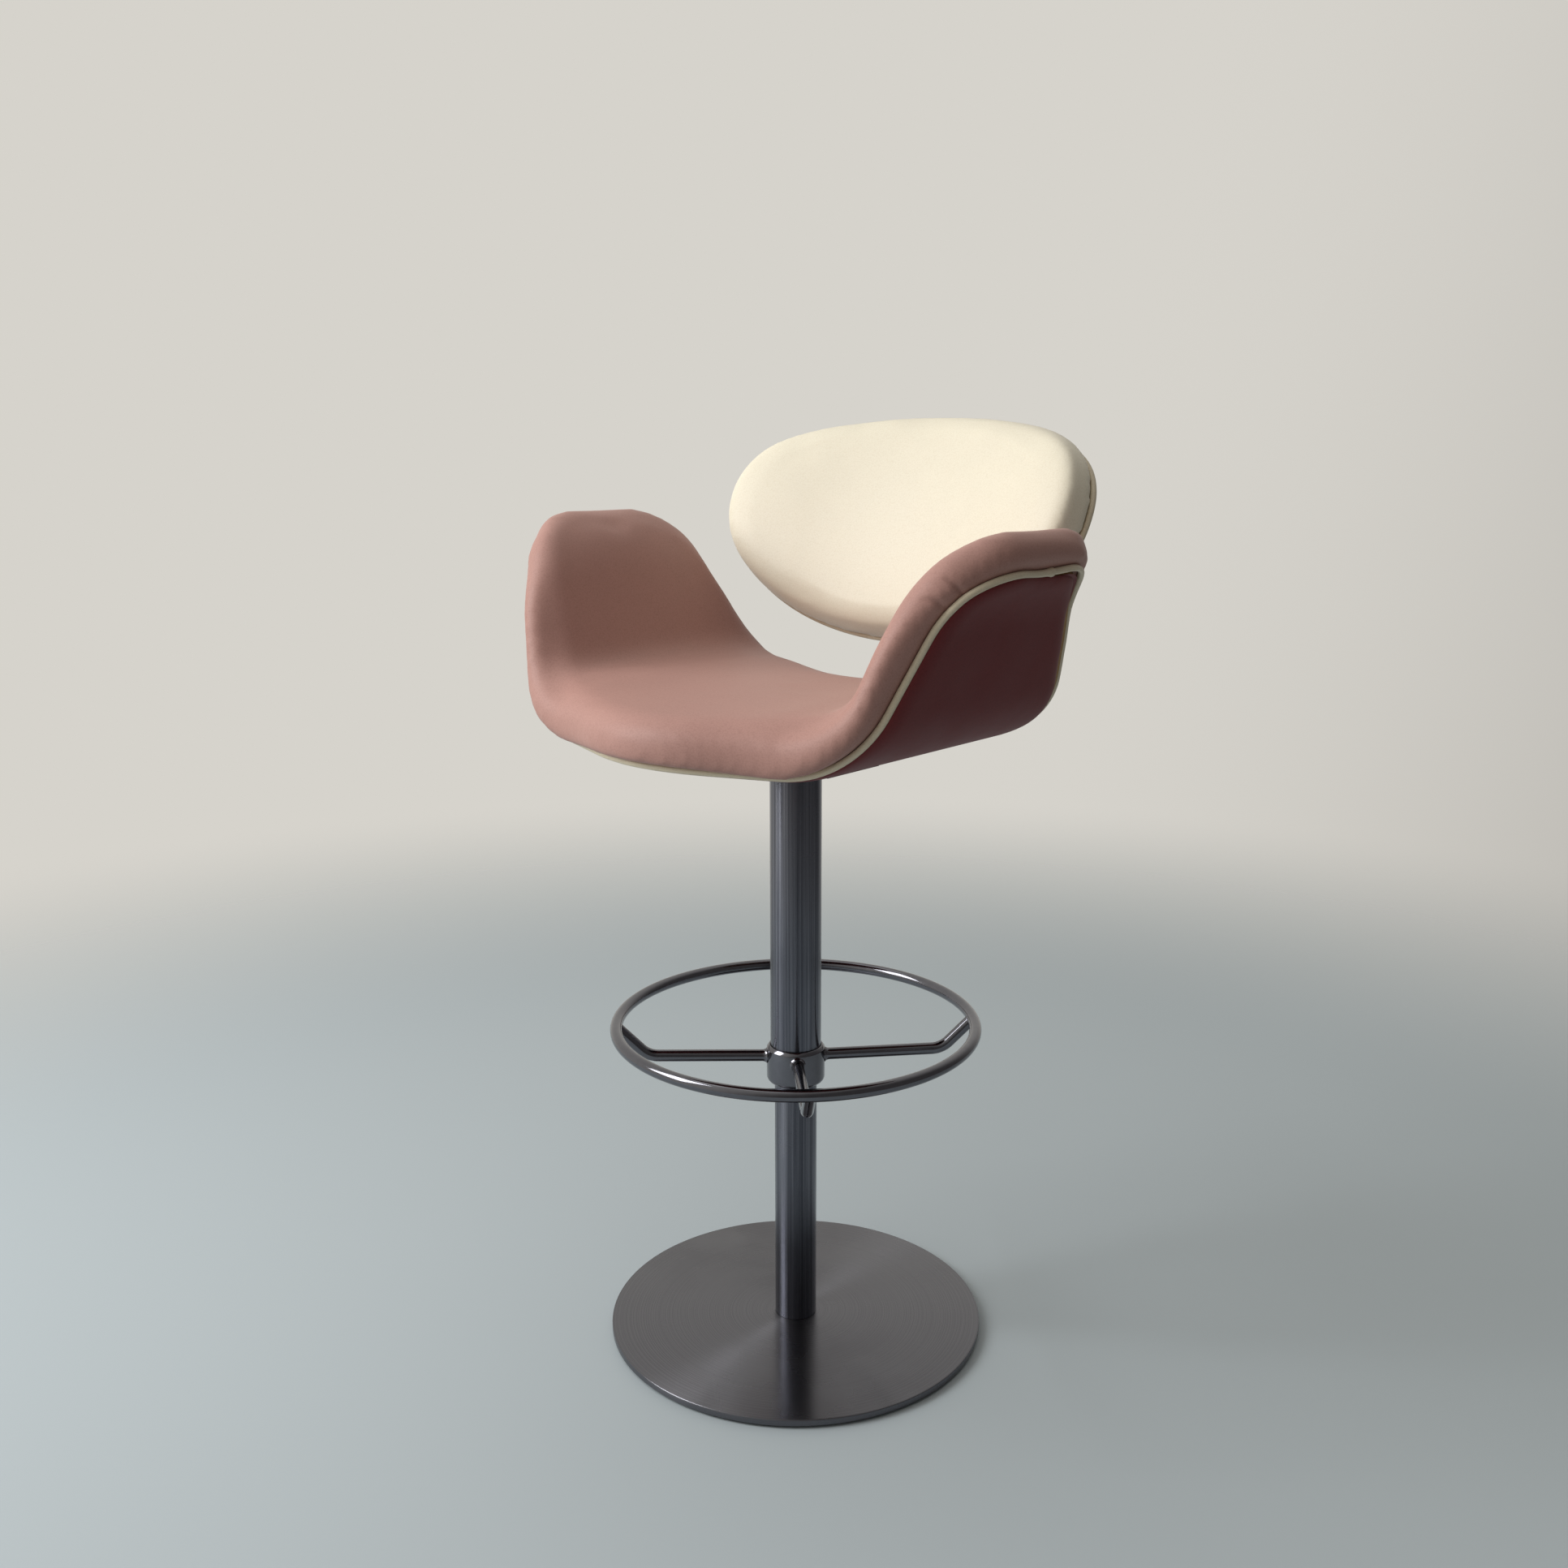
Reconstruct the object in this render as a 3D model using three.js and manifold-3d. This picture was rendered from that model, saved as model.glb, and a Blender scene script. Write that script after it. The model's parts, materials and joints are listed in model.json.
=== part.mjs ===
// Swivelling counter stool: a heavy round base, a two-diameter gas lift column with a ring
// footrest, a seat whose one bent petal forms both arms, and a separate reclined back pad.
// Millimetres, +Z up, the sitter faces -Y. The origin is on the floor, on the column's axis.

import * as THREE from 'three';
import Module from 'manifold-3d';
import { mergeVertices } from 'three/addons/utils/BufferGeometryUtils.js';

const wasm = await Module();
wasm.setup();

// General clearances
const seatingGap = 0.3;
const slidingGap = 0.3;
const layerGap = 0.6;
const overrun = 5;

// Base
const baseDiameter = 450;
const basePlateThickness = 8;
const baseEdgeBevel = 1.2;
const glideHeight = 2.8;
const glideWidth = 14;
const glideInset = 4;
const centrePadDiameter = 90;

// Column that stands on the base
const columnDiameter = 50;
const columnWall = 2;
const columnTop = 468;
const columnFootHeight = 22;
const clipRecessRadius = 9;
const clipRecessDepth = 6;
const footBoltCount = 3;
const footBoltRadius = 3;
const footBoltCircleRadius = 15.5;
const footBoltHeadRadius = 6;
const footBoltHeadHeight = 3.2;
const footBoltGrip = 14;
const guideLength = 178;
const topBushLength = 24;
const topBushLip = 2.2;

// Thrust bearing under the piston rod
const washerInnerRadius = 5.6;
const washerOuterRadius = 13;
const washerThickness = 1.5;
const ballCount = 6;
const ballRadius = 1.7;
const ballCircleRadius = 9.3;
const ballPlay = 0.15;
const cageThickness = 1.4;

// Gas lift
const rodRadius = 5;
const rodNeckRadius = 4;
const rodShoulderRadius = 9;
const rodShoulderHeight = 3;
const clipThickness = 1.2;
const clipOuterRadius = 8;
const clipSlot = 5;
const cylinderRadius = 14;
const cylinderWall = 1.5;
const cylinderTop = 715;
const cylinderLength = 453;
const cylinderPlugHeight = 12;
const cylinderChamber = 246;
const taperTopRadius = 12.8;
const taperLength = 60;
const pistonHeight = 10;
const pistonRest = 3;
const rivetHeight = 2;
const releasePinRadius = 4;
const releasePinLength = 28;
const releasePinProud = 6;

// Outer tube that carries the footrest
const upperTubeDiameter = 60;
const upperTubeWall = 1.5;
const collarBottom = 314;
const collarHeight = 46;
const collarDiameter = 69;
const collarLip = 4;
const collarTopChamfer = 4;
const collarBottomChamfer = 7;
const endBushLength = 22;

// Footrest
const ringRadius = 211.4;
const ringHeight = 386;
const ringTubeRadius = 7.1;
const spokeRadius = 7;
const spokeCount = 4;
const spokeStartHeight = 345;
const spokeRise = THREE.MathUtils.degToRad(1.4);
const spokeKick = THREE.MathUtils.degToRad(45);
const spokeBendRadius = 30;

// Seat mechanism
const housingBelowCylinderTop = 14;
const housingSheet = 2.5;
const housingLength = 170;
const housingWidth = 90;
const flangeWidth = 34;
const socketRadius = 20;
const socketBelow = 22;
const seatPlateSize = 170;
const seatPlateThickness = 3;
const seatPlateCorner = 14;
const seatScrewPitch = 124;
const screwRadius = 3;
const screwHeadRadius = 5.2;
const screwHeadHeight = 3.8;
const tNutBarrelRadius = 4.6;
const tNutFlangeRadius = 9;
const tNutFlange = 1.2;

// Release lever
const leverRadius = 4;
const leverPivotArm = 36;
const leverTongue = 3;
const leverTongueWidth = 14;
const leverTongueReach = 7;
const leverEyeRadius = 7;
const leverEyeDrop = 7;
const leverEyeOpening = THREE.MathUtils.degToRad(30);
const leverExit = 92;
const leverReach = 238;
const leverDrop = 9;
const pivotPinRadius = 3;
const pivotHeadRadius = 5.5;
const pivotHeadHeight = 2.5;
const gripRadius = 6.5;
const gripLength = 74;
const gripWallEnd = 4;
const gripBevel = 1.5;

// Seat petal: a flat sheet pattern bent up into two arms
const deckAboveCylinderTop = 26;
const petalHalfLength = 447;
const deckHalfWidth = 150;
const armBendRadius = 108;
const armSlope = THREE.MathUtils.degToRad(66.5);
const armStraight = 84;
const armFlareRadius = 140;
const seatFrontReach = 260;
const seatRearReach = 132;
const armFrontCorner = 57;
const armRearCorner = 72;
const petalSpineInset = 62;
const frontEdgeShares = [
  [0, 1], [0.12, 0.967], [0.24, 0.893], [0.36, 0.814], [0.48, 0.752], [0.6, 0.682],
  [0.72, 0.624], [0.84, 0.568], [1, 0.45],
];
const rearEdgeShares = [
  [0, 1.02], [0.12, 1.04], [0.24, 1.13], [0.36, 1.23], [0.48, 1.284], [0.6, 1.265],
  [0.72, 1.11], [0.84, 0.88], [1, 0.8],
];

// Layers of both pads, counted from the pad's underside
const shellThickness = 6.4;
const shellFromPiping = 9;
const coverThickness = 3;
const coverRimWidth = 26;
const coverRimShares = [[1, 0], [0.46, 0.2], [0.15, 0.57], [0.04, 1]];
const pipingRadius = 3.75;

// Padding: shares of the roll radius or the piping inset, then of the thickness
const seatPadThickness = 45;
const seatPadCrown = 5;
const seatPipingInset = 16.5;
const padFootLip = 2;
const padFootShares = [0.35, 0.16];
const rollShares = [[0, 0.42], [0.1, 0.68], [0.42, 0.91], [1, 1]];
const crownShares = [[0.5, 0.75], [1, 1]];

// Back pad
const backCentreDepth = 237;
const backCentreAboveDeck = 216;
const backRecline = THREE.MathUtils.degToRad(26);
const backCurveRadius = 625;
const backHalfWidth = 269;
const backRise = 133.5;
const backDrop = 149.5;
const backPadThickness = 37.5;
const backPadCrown = 7;
const backPipingInset = 4;
const backRoundnessShare = 0.95;
const backMiddleInset = 120;

// Spine that holds the back
const spineWidth = 50;
const spineThickness = 8;
const spineFoot = 87;
const spineBendRadius = 40;
const spineUpright = 200;
const spineLeanRadius = 120;
const spineTopAboveCentre = 45;
const spineBoltDepth = 97;
const spineBoltSpacing = 28;
const backScrewRises = [-42, 22];
const sleeveWidth = 60;
const sleeveThickness = 18;
const sleeveCorner = 6;
const sleeveStart = 138;
const sleeveLength = 46;

// How finely the round shapes are faceted
const fineSides = 60;
const tubeSides = 32;
const smallSides = 16;
const boltSides = 10;
const barSides = 8;
const pipingSides = 6;
const deckColumns = 4;
const bendColumns = 8;
const armColumns = 3;
const cornerColumns = 6;
const tipColumns = 4;
const backOutlineSides = 48;
const bendSteps = 6;

// Heights that follow from the sizes above
const basePlateTop = glideHeight + basePlateThickness;
const columnBore = columnDiameter / 2 - columnWall;
const footTop = basePlateTop + columnFootHeight;
const lowerWasherTop = footTop + washerThickness;
const upperWasherBottom = lowerWasherTop + 2 * (ballRadius + ballPlay);
const rodShoulderBottom = upperWasherBottom + washerThickness + seatingGap;
const upperTubeRadius = upperTubeDiameter / 2;
const upperTubeBore = upperTubeRadius - upperTubeWall;
const cylinderBottom = cylinderTop - cylinderLength;
const housingBottom = cylinderTop - housingBelowCylinderTop;
const seatDeck = cylinderTop + deckAboveCylinderTop;
const backCentreHeight = seatDeck + backCentreAboveDeck;
const upperTubeBottom = collarBottom + collarLip + seatingGap;
const upperTubeTop = housingBottom - seatingGap;
const chamberRadius = cylinderRadius - cylinderWall;
const chamberBottom = cylinderBottom + cylinderPlugHeight;
const pistonBottom = chamberBottom + seatingGap + pistonRest;
const releasePinTop = cylinderTop + releasePinProud;
const shellTop = seatDeck - layerGap;
const coverTop = shellTop - shellThickness - layerGap;
const coverBottom = coverTop - coverThickness;
const seatPlateTop = coverBottom - seatingGap;
const seatPlateBottom = seatPlateTop - seatPlateThickness;
const flangeBottom = seatPlateBottom - seatingGap - housingSheet;
const pinAxisHeight = releasePinTop + seatingGap - leverEyeDrop + leverTongue;
const spineFootHeight = coverBottom - seatingGap - spineThickness / 2;

const finishes = {
  discSteel: new THREE.MeshStandardMaterial({ color: 0x5d5e64, roughness: 0.32, metalness: 1 }),
  tubeSteel: new THREE.MeshStandardMaterial({ color: 0x54545b, roughness: 0.28, metalness: 1 }),
  polishedSteel: new THREE.MeshStandardMaterial({ color: 0x6a6662, roughness: 0.16, metalness: 1 }),
  zincSteel: new THREE.MeshStandardMaterial({ color: 0xa9abad, roughness: 0.4, metalness: 1 }),
  blackSteel: new THREE.MeshStandardMaterial({ color: 0x26272a, roughness: 0.55, metalness: 0.3 }),
  rubber: new THREE.MeshStandardMaterial({ color: 0x1d1d1f, roughness: 0.85, metalness: 0 }),
  nylon: new THREE.MeshStandardMaterial({ color: 0x2b2c2f, roughness: 0.5, metalness: 0 }),
  plywood: new THREE.MeshStandardMaterial({ color: 0xb58e5c, roughness: 0.7, metalness: 0 }),
  pinkLeather: new THREE.MeshStandardMaterial({ color: 0xb98d82, roughness: 0.5, metalness: 0 }),
  burgundyLeather: new THREE.MeshStandardMaterial({ color: 0x4f2729, roughness: 0.5, metalness: 0 }),
  creamLeather: new THREE.MeshStandardMaterial({ color: 0xe9dfc6, roughness: 0.5, metalness: 0 }),
};

const stool = new THREE.Group();

function add(name, geometry, finish) {
  const mesh = new THREE.Mesh(outward(geometry), finish);
  mesh.name = name;
  stool.add(mesh);
}

// Shared vertices only, no triangle that has shrunk to a line
function weld(geometry) {
  const bare = new THREE.BufferGeometry();
  bare.setAttribute('position', geometry.getAttribute('position').clone());
  if (geometry.index) bare.setIndex(geometry.index.clone());
  const merged = mergeVertices(bare);
  const corners = merged.index.array;
  const kept = [];
  for (let i = 0; i < corners.length; i += 3) {
    const [a, b, c] = [corners[i], corners[i + 1], corners[i + 2]];
    if (a !== b && b !== c && c !== a) kept.push(a, b, c);
  }
  merged.setIndex(kept);
  return merged;
}

function signedVolume(geometry) {
  const place = geometry.getAttribute('position');
  const corners = geometry.index.array;
  const [a, b, c] = [new THREE.Vector3(), new THREE.Vector3(), new THREE.Vector3()];
  let volume = 0;
  for (let i = 0; i < corners.length; i += 3) {
    a.fromBufferAttribute(place, corners[i]);
    b.fromBufferAttribute(place, corners[i + 1]);
    c.fromBufferAttribute(place, corners[i + 2]);
    volume += a.dot(b.cross(c));
  }
  return volume;
}

// A welded copy whose faces point away from its inside
function outward(geometry) {
  const welded = weld(geometry);
  if (signedVolume(welded) < 0) {
    const corners = Array.from(welded.index.array);
    for (let i = 0; i < corners.length; i += 3) {
      [corners[i + 1], corners[i + 2]] = [corners[i + 2], corners[i + 1]];
    }
    welded.setIndex(corners);
  }
  welded.computeVertexNormals();
  return welded;
}

function toSolid(geometry) {
  const closed = outward(geometry);
  const vertProperties = new Float32Array(closed.getAttribute('position').array);
  const triVerts = new Uint32Array(closed.index.array);
  return new wasm.Manifold(new wasm.Mesh({ numProp: 3, vertProperties, triVerts }));
}

function toGeometry(solid) {
  const mesh = solid.getMesh();
  const geometry = new THREE.BufferGeometry();
  geometry.setAttribute('position', new THREE.BufferAttribute(mesh.vertProperties, 3));
  geometry.setIndex(Array.from(mesh.triVerts));
  return geometry;
}

function cut(geometry, tools) {
  const cutters = tools.map(toSolid);
  return toGeometry(cutters.reduce((solid, cutter) => solid.subtract(cutter), toSolid(geometry)));
}

function join(first, second) {
  return toGeometry(toSolid(first).add(toSolid(second)));
}

// A shape turned about the Z axis from [radius, height] points. A profile that doesn't
// reach the axis at both ends is closed on itself, as a ring or a tube is.
function turned(profile, sides) {
  const points = profile.map(([radius, height]) => new THREE.Vector2(radius, height));
  if (profile[0][0] !== 0) points.push(points[0].clone());
  return new THREE.LatheGeometry(points, sides).rotateX(Math.PI / 2);
}

function tube(innerRadius, outerRadius, bottom, top, sides) {
  return turned([
    [innerRadius, bottom], [outerRadius, bottom], [outerRadius, top], [innerRadius, top],
  ], sides);
}

function rod(radius, bottom, top, sides) {
  return turned([[0, bottom], [radius, bottom], [radius, top], [0, top]], sides);
}

// Turns a shape made along +Z so that it runs along a direction, then moves it to a place
function aim(geometry, direction, place) {
  const turn = new THREE.Quaternion().setFromUnitVectors(new THREE.Vector3(0, 0, 1), direction);
  return geometry.applyQuaternion(turn).translate(place.x, place.y, place.z);
}

// A screw or bolt along +Z whose head lies under zero, so that zero is the bearing face
function screw(radius, headRadius, headHeight, length) {
  return turned([
    [0, -headHeight], [headRadius, -headHeight], [headRadius, 0],
    [radius, 0], [radius, length], [0, length],
  ], boltSides);
}

// Flat outlines

function circleShape(radius, sides) {
  const corners = Array.from({ length: sides }, (_, i) => {
    const angle = (i / sides) * 2 * Math.PI;
    return new THREE.Vector2(radius * Math.cos(angle), radius * Math.sin(angle));
  });
  return new THREE.Shape(corners);
}

function rectangleCorners(width, height) {
  const [x, y] = [width / 2, height / 2];
  return [[x, y], [-x, y], [-x, -y], [x, -y]].map(([a, b]) => new THREE.Vector2(a, b));
}

function roundedRectangle(width, height, corner) {
  const outline = new THREE.Shape();
  rectangleCorners(width - 2 * corner, height - 2 * corner).forEach(({ x, y }, i) => {
    const start = (i * Math.PI) / 2;
    outline.absarc(x, y, corner, start, start + Math.PI / 2, false);
  });
  return outline;
}

// A smooth value read from a table of [station, value] points
function smoothValue(table, station) {
  let i = 0;
  while (i < table.length - 2 && station > table[i + 1][0]) i += 1;
  const slope = (k) => {
    const before = table[Math.max(k - 1, 0)];
    const after = table[Math.min(k + 1, table.length - 1)];
    return (after[1] - before[1]) / (after[0] - before[0]);
  };
  const width = table[i + 1][0] - table[i][0];
  const t = (station - table[i][0]) / width;
  const startSlope = i === 0 && table[0][0] === 0 ? 0 : slope(i);
  const rise = t * t * (3 - 2 * t);
  return table[i][1] * (1 - rise) + table[i + 1][1] * rise
    + width * startSlope * t * (1 - t) * (1 - t) - width * slope(i + 1) * t * t * (1 - t);
}

// Base

function footBoltPlaces() {
  return Array.from({ length: footBoltCount }, (_, i) => {
    const angle = (i / footBoltCount) * 2 * Math.PI;
    return [footBoltCircleRadius * Math.cos(angle), footBoltCircleRadius * Math.sin(angle)];
  });
}

function countersunkBolt(clearance) {
  return turned([
    [0, 0], [footBoltHeadRadius + clearance, 0], [footBoltRadius + clearance, footBoltHeadHeight],
    [footBoltRadius + clearance, basePlateThickness + footBoltGrip + clearance],
    [0, basePlateThickness + footBoltGrip + clearance],
  ], boltSides);
}

function makeBase() {
  const radius = baseDiameter / 2;
  const plate = turned([
    [0, glideHeight], [radius - baseEdgeBevel, glideHeight], [radius, glideHeight + baseEdgeBevel],
    [radius, basePlateTop - baseEdgeBevel], [radius - baseEdgeBevel, basePlateTop], [0, basePlateTop],
  ], fineSides);
  const holes = footBoltPlaces().map(([x, y]) => countersunkBolt(seatingGap).translate(x, y, glideHeight));
  add('base_plate', cut(plate, holes), finishes.discSteel);

  const glideOuter = radius - glideInset;
  const glide = tube(glideOuter - glideWidth, glideOuter, 0, glideHeight - seatingGap, tubeSides);
  add('floor_glide_ring', glide, finishes.rubber);
  const pad = rod(centrePadDiameter / 2, 0, glideHeight - seatingGap, tubeSides);
  add('centre_floor_pad', pad, finishes.rubber);

  footBoltPlaces().forEach(([x, y], i) => {
    const bolt = countersunkBolt(0).translate(x, y, glideHeight + seatingGap / 2);
    add(`foot_bolt_${i + 1}`, bolt, finishes.zincSteel);
  });
}

// Column and its bearings

function makeColumn() {
  const bottom = basePlateTop + seatingGap;
  const plugRadius = columnBore - slidingGap;
  const plug = turned([
    [rodRadius + slidingGap, footTop], [plugRadius, footTop], [plugRadius, bottom],
    [clipRecessRadius, bottom], [clipRecessRadius, bottom + clipRecessDepth],
    [rodRadius + slidingGap, bottom + clipRecessDepth],
  ], tubeSides);
  const holes = footBoltPlaces().map(([x, y]) => countersunkBolt(seatingGap).translate(x, y, glideHeight));
  add('column_foot_plug', cut(plug, holes), finishes.zincSteel);

  add('column_tube', tube(columnBore, columnDiameter / 2, bottom, columnTop, tubeSides), finishes.tubeSteel);

  const guideBore = cylinderRadius + slidingGap;
  const guide = tube(guideBore, plugRadius, columnTop - guideLength, columnTop, tubeSides);
  add('cylinder_guide', guide, finishes.nylon);

  const bushInner = columnDiameter / 2 + slidingGap;
  const bushOuter = upperTubeBore - slidingGap;
  const lipBottom = columnTop + seatingGap;
  const topBush = turned([
    [bushInner, columnTop - topBushLength], [bushOuter, columnTop - topBushLength],
    [bushOuter, lipBottom + topBushLip], [guideBore, lipBottom + topBushLip],
    [guideBore, lipBottom], [bushInner, lipBottom],
  ], tubeSides);
  add('column_top_bush', topBush, finishes.nylon);
}

function makeThrustBearing() {
  const lower = tube(washerInnerRadius, washerOuterRadius, footTop + seatingGap, lowerWasherTop, smallSides);
  add('bearing_lower_washer', lower, finishes.zincSteel);

  const ballHeight = lowerWasherTop + ballPlay + ballRadius;
  const pocket = ballRadius + ballPlay;
  const ballPlaces = Array.from({ length: ballCount }, (_, i) => {
    const angle = (i / ballCount) * 2 * Math.PI;
    return [ballCircleRadius * Math.cos(angle), ballCircleRadius * Math.sin(angle)];
  });
  const plainCage = tube(
    washerInnerRadius, washerOuterRadius,
    ballHeight - cageThickness / 2, ballHeight + cageThickness / 2, smallSides,
  );
  const pockets = ballPlaces.map(([x, y]) => (
    rod(pocket, -overrun, overrun, boltSides).translate(x, y, ballHeight)
  ));
  add('bearing_cage', cut(plainCage, pockets), finishes.nylon);
  ballPlaces.forEach(([x, y], i) => {
    const ball = new THREE.SphereGeometry(ballRadius, barSides, barSides - 2);
    add(`bearing_ball_${i + 1}`, ball.rotateX(Math.PI / 2).translate(x, y, ballHeight), finishes.zincSteel);
  });

  const upper = tube(
    washerInnerRadius, washerOuterRadius, upperWasherBottom, rodShoulderBottom - seatingGap, smallSides,
  );
  add('bearing_upper_washer', upper, finishes.zincSteel);
}

// Gas lift

function makeGasLift() {
  const recessRoof = basePlateTop + seatingGap + clipRecessDepth;
  const clipTop = recessRoof - seatingGap;
  const clipBottom = clipTop - clipThickness;
  const pistonTop = pistonBottom + pistonHeight;
  const rivetBottom = pistonTop + seatingGap;
  const pistonRod = turned([
    [0, basePlateTop + 2 * seatingGap], [rodRadius, basePlateTop + 2 * seatingGap],
    [rodRadius, clipBottom - seatingGap], [rodNeckRadius, clipBottom - seatingGap],
    [rodNeckRadius, clipTop + seatingGap], [rodRadius, clipTop + seatingGap],
    [rodRadius, rodShoulderBottom], [rodShoulderRadius, rodShoulderBottom],
    [rodShoulderRadius, rodShoulderBottom + rodShoulderHeight],
    [rodRadius, rodShoulderBottom + rodShoulderHeight],
    [rodRadius, pistonBottom - seatingGap], [rodNeckRadius, pistonBottom - seatingGap],
    [rodNeckRadius, rivetBottom], [rodRadius, rivetBottom],
    [rodRadius, rivetBottom + rivetHeight], [0, rivetBottom + rivetHeight],
  ], smallSides);
  add('piston_rod', pistonRod, finishes.polishedSteel);

  const ring = tube(rodNeckRadius + slidingGap, clipOuterRadius, clipBottom, clipTop, smallSides);
  const slot = new THREE.BoxGeometry(clipSlot, 2 * clipOuterRadius, 2 * overrun);
  add('rod_clip', cut(ring, [slot.translate(0, -clipOuterRadius, clipTop)]), finishes.zincSteel);

  const pistonRadius = chamberRadius - slidingGap;
  const piston = tube(rodNeckRadius + slidingGap, pistonRadius, pistonBottom, pistonTop, smallSides);
  add('piston', piston, finishes.nylon);

  const pinBore = releasePinRadius + slidingGap;
  const rodBore = rodRadius + slidingGap;
  const chamberTop = chamberBottom + cylinderChamber;
  const cylinder = turned([
    [rodBore, cylinderBottom], [cylinderRadius, cylinderBottom], [cylinderRadius, cylinderTop - taperLength],
    [taperTopRadius, cylinderTop], [pinBore, cylinderTop], [pinBore, chamberTop],
    [chamberRadius, chamberTop], [chamberRadius, chamberBottom], [rodBore, chamberBottom],
  ], smallSides);
  add('gas_cylinder', cylinder, finishes.blackSteel);

  const pin = rod(releasePinRadius, releasePinTop - releasePinLength, releasePinTop, boltSides);
  add('release_pin', pin, finishes.zincSteel);
}

// Outer tube and footrest

function makeOuterTube() {
  const sleeve = tube(upperTubeBore, upperTubeRadius, upperTubeBottom, upperTubeTop, tubeSides);
  add('upper_tube', sleeve, finishes.tubeSteel);

  const bushInner = columnDiameter / 2 + slidingGap;
  const bush = tube(
    bushInner, upperTubeBore - slidingGap, upperTubeBottom, upperTubeBottom + endBushLength, tubeSides,
  );
  add('tube_end_bush', bush, finishes.nylon);

  const outer = collarDiameter / 2;
  const bore = upperTubeRadius + slidingGap;
  const top = collarBottom + collarHeight;
  const lipTop = collarBottom + collarLip;
  const collar = turned([
    [bushInner, collarBottom], [outer - collarBottomChamfer, collarBottom],
    [outer, collarBottom + collarBottomChamfer], [outer, top - collarTopChamfer],
    [bore + upperTubeWall, top], [bore, top], [bore, lipTop], [bushInner, lipTop],
  ], tubeSides);
  add('footrest_collar', collar, finishes.polishedSteel);
}

function ringTube(radius) {
  const section = Array.from({ length: barSides }, (_, i) => {
    const angle = (i / barSides) * 2 * Math.PI;
    return [ringRadius + radius * Math.cos(angle), ringHeight + radius * Math.sin(angle)];
  });
  return turned(section, fineSides);
}

// A line of straight runs and bends, stepped so that its straight runs stay straight
class RunLine extends THREE.Curve {
  markSteps(runs, counts) {
    this.marks = [0];
    runs.forEach((run, i) => {
      const start = this.marks[this.marks.length - 1];
      for (let k = 1; k <= counts[i]; k += 1) this.marks.push(start + (run * k) / counts[i]);
    });
    this.stepCount = this.marks.length - 1;
  }

  getUtoTmapping(u) {
    const i = Math.min(Math.floor(u * this.stepCount), this.stepCount - 1);
    const distance = this.marks[i] + (this.marks[i + 1] - this.marks[i]) * (u * this.stepCount - i);
    return distance / this.marks[this.stepCount];
  }
}

// A spoke's centre line in the plane of the column's axis: out, then kicked up to the ring
class SpokeLine extends RunLine {
  constructor() {
    super();
    const kickRun = ringHeight - spokeStartHeight;
    const cornerRadius = (ringRadius - kickRun / Math.tan(spokeKick)) / (1 - Math.tan(spokeRise));
    const turn = spokeKick - spokeRise;
    this.corner = new THREE.Vector3(cornerRadius, 0, spokeStartHeight + cornerRadius * Math.tan(spokeRise));
    this.tangentLength = spokeBendRadius * Math.tan(turn / 2);
    this.out = new THREE.Vector3(Math.cos(spokeRise), 0, Math.sin(spokeRise));
    this.end = new THREE.Vector3(ringRadius, 0, ringHeight);
    this.up = this.end.clone().sub(this.corner).normalize();
    this.turn = Math.acos(this.out.dot(this.up));
    this.start = this.corner.clone().addScaledVector(this.out, -(cornerRadius - upperTubeRadius));
    this.runs = [
      this.corner.distanceTo(this.start) - this.tangentLength,
      spokeBendRadius * this.turn,
      this.corner.distanceTo(this.end) - this.tangentLength,
    ];
    this.markSteps(this.runs, [1, bendSteps, 1]);
  }

  getPoint(t, target = new THREE.Vector3()) {
    const [level, bend, kick] = this.runs;
    const distance = t * (level + bend + kick);
    if (distance <= level) return target.copy(this.start).addScaledVector(this.out, distance);
    if (distance >= level + bend) {
      return target.copy(this.end).addScaledVector(this.up, distance - level - bend - kick);
    }
    const angle = (distance - level) / spokeBendRadius;
    const side = new THREE.Vector3(-this.out.z, 0, this.out.x);
    return target.copy(this.start).addScaledVector(this.out, level + spokeBendRadius * Math.sin(angle))
      .addScaledVector(side, spokeBendRadius * (1 - Math.cos(angle)));
  }
}

function makeFootrest() {
  add('footrest_ring', ringTube(ringTubeRadius), finishes.polishedSteel);

  const collarSpace = rod(collarDiameter / 2 + seatingGap, collarBottom, ringHeight, tubeSides);
  const ringSpace = ringTube(ringTubeRadius + seatingGap);
  for (let i = 0; i < spokeCount; i += 1) {
    const line = new SpokeLine();
    const bar = new THREE.ExtrudeGeometry(circleShape(spokeRadius, barSides), {
      extrudePath: line, steps: line.stepCount, bevelEnabled: false,
    });
    const angle = ((i + 1 / 2) / spokeCount) * 2 * Math.PI;
    bar.rotateZ(angle);
    add(`footrest_spoke_${i + 1}`, cut(bar, [collarSpace, ringSpace]), finishes.polishedSteel);
  }
}

// Seat mechanism

function seatScrewPlaces() {
  const half = seatScrewPitch / 2;
  return [[half, half], [-half, half], [-half, -half], [half, -half]];
}

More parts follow.
